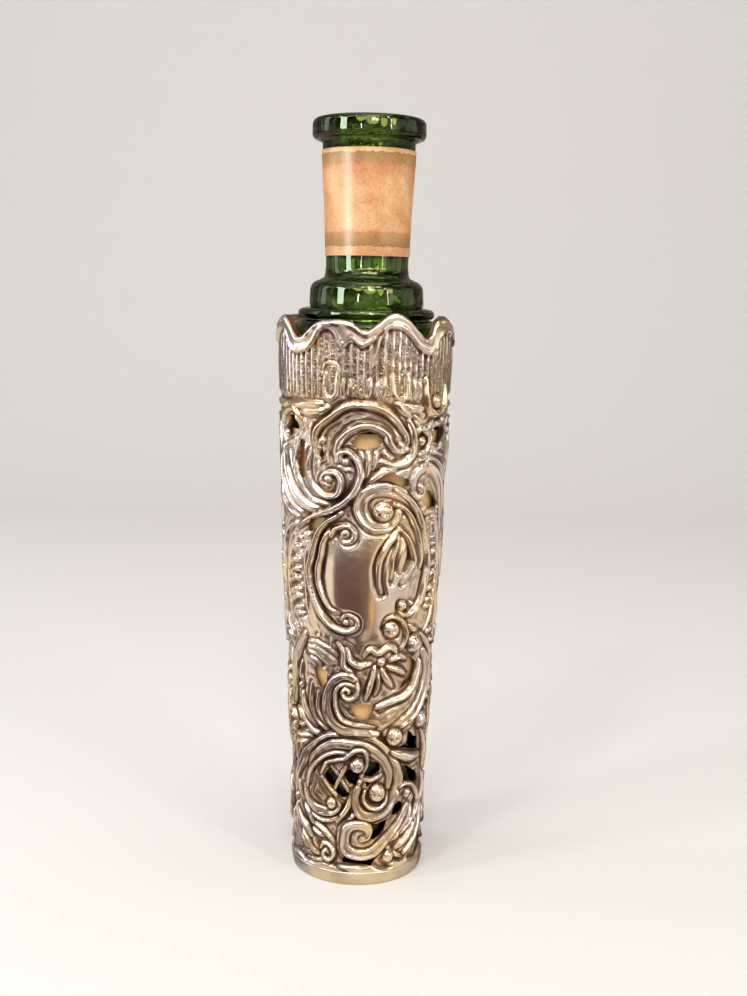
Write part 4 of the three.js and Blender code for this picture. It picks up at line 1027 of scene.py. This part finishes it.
middle, upper = (0, 0, 0.08), (0, 0, 0.15)
lamp("key", (-0.35, -0.5, 0.6), middle, (0.3, 0.4), 0.8, (1, 0.94, 0.83))
lamp("fill", (0.5, -0.45, 0.3), middle, (0.15, 0.5), 0.5, (1, 0.92, 0.8))
lamp("overhead", (0.05, -0.1, 0.75), middle, (0.5, 0.3), 1.2, (1, 0.94, 0.84))
lamp("side", (-0.6, 0.05, 0.25), middle, (0.15, 0.5), 0.65, (0.86, 0.9, 1))
lamp("window", (-0.46, -0.24, 0.42), upper, (0.08, 0.12), 0.6, (1, 0.98, 0.95))
panes = (0.34, -0.4, 0.4), (-0.04, -0.4, 0.5), (0.05, -0.42, 0.46), (-0.2, -0.34, 0.52)
for number, place in enumerate(panes):
    lamp(f"pane_{number}", place, upper, (0.035, 0.05), 0.28, (1, 0.98, 0.94))

glazed = bpy.data.collections.new("glazed")
glazed_paper = bpy.data.collections.new("glazed_paper")
for collection in (glazed, glazed_paper):
    bpy.context.scene.collection.children.link(collection)
    collection.objects.link(bottle)
glazed_paper.objects.link(neck_label)
pale_blue, warm, olive = (0.95, 0.99, 1), (1, 0.84, 0.42), (0.95, 0.9, 0.22)
streaks = [
    ((-0.4, -0.31, 0.23), (0.12, 0.3), 2.4, pale_blue, glazed_paper),
    ((-0.13, -0.46, 0.17), (0.012, 0.1), 0.24, pale_blue, glazed),
    ((0.07, -0.5, 0.3), (0.05, 0.06), 0.5, pale_blue, glazed),
    ((0.34, -0.36, 0.2), (0.014, 0.2), 0.3, warm, glazed),
    ((-0.12, -0.4, 0.29), (0.16, 0.1), 0.42, olive, glazed),
    ((0.05, -0.42, 0.27), (0.2, 0.12), 0.5, olive, glazed),
    ((0.2, -0.36, 0.25), (0.1, 0.12), 0.3, olive, glazed),
    ((0.36, -0.3, 0.27), (0.08, 0.1), 0.22, olive, glazed),
    ((0.1, -0.4, 0.26), (0.03, 0.03), 0.09, warm, glazed),
    ((0.05, -0.36, 0.5), (0.34, 0.12), 2.0, warm, glazed),
]
for number, (place, size, power, colour, receivers) in enumerate(streaks):
    streak = lamp(f"streak_{number}", place, (0, 0, 0.14), size, power, colour)
    streak.visible_diffuse = False
    if colour is olive:
        streak.data.shape = "ELLIPSE"
    streak.light_linking.receiver_collection = receivers


# Camera
# It stands where the photograph was taken from, a little above the rim and tilted down,
# relative to the upright bottle; its focal length is that of the photograph in pixels.
EYE = Vector((0.00236, -0.2742, 0.130))
PITCH, ROLL = math.radians(9.34), math.radians(1.12)
FOCAL_PIXELS, LONG_SIDE = 1246, 996
SENSOR = 36
ahead = Vector((0, math.cos(PITCH), -math.sin(PITCH)))
level = Vector((1, 0, 0))
upward = level.cross(ahead)
right = math.cos(ROLL) * level + math.sin(ROLL) * upward
top = -math.sin(ROLL) * level + math.cos(ROLL) * upward
lens = bpy.data.cameras.new("camera")
lens.sensor_width = SENSOR
lens.lens = SENSOR * FOCAL_PIXELS / LONG_SIDE
lens.clip_start = 0.01
camera = bpy.data.objects.new("camera", lens)
camera.matrix_world = Matrix.Translation(EYE) @ Matrix((right, top, -ahead)).transposed().to_4x4()
bpy.context.scene.collection.objects.link(camera)
bpy.context.scene.camera = camera
bpy.context.scene.view_settings.view_transform = "Standard"
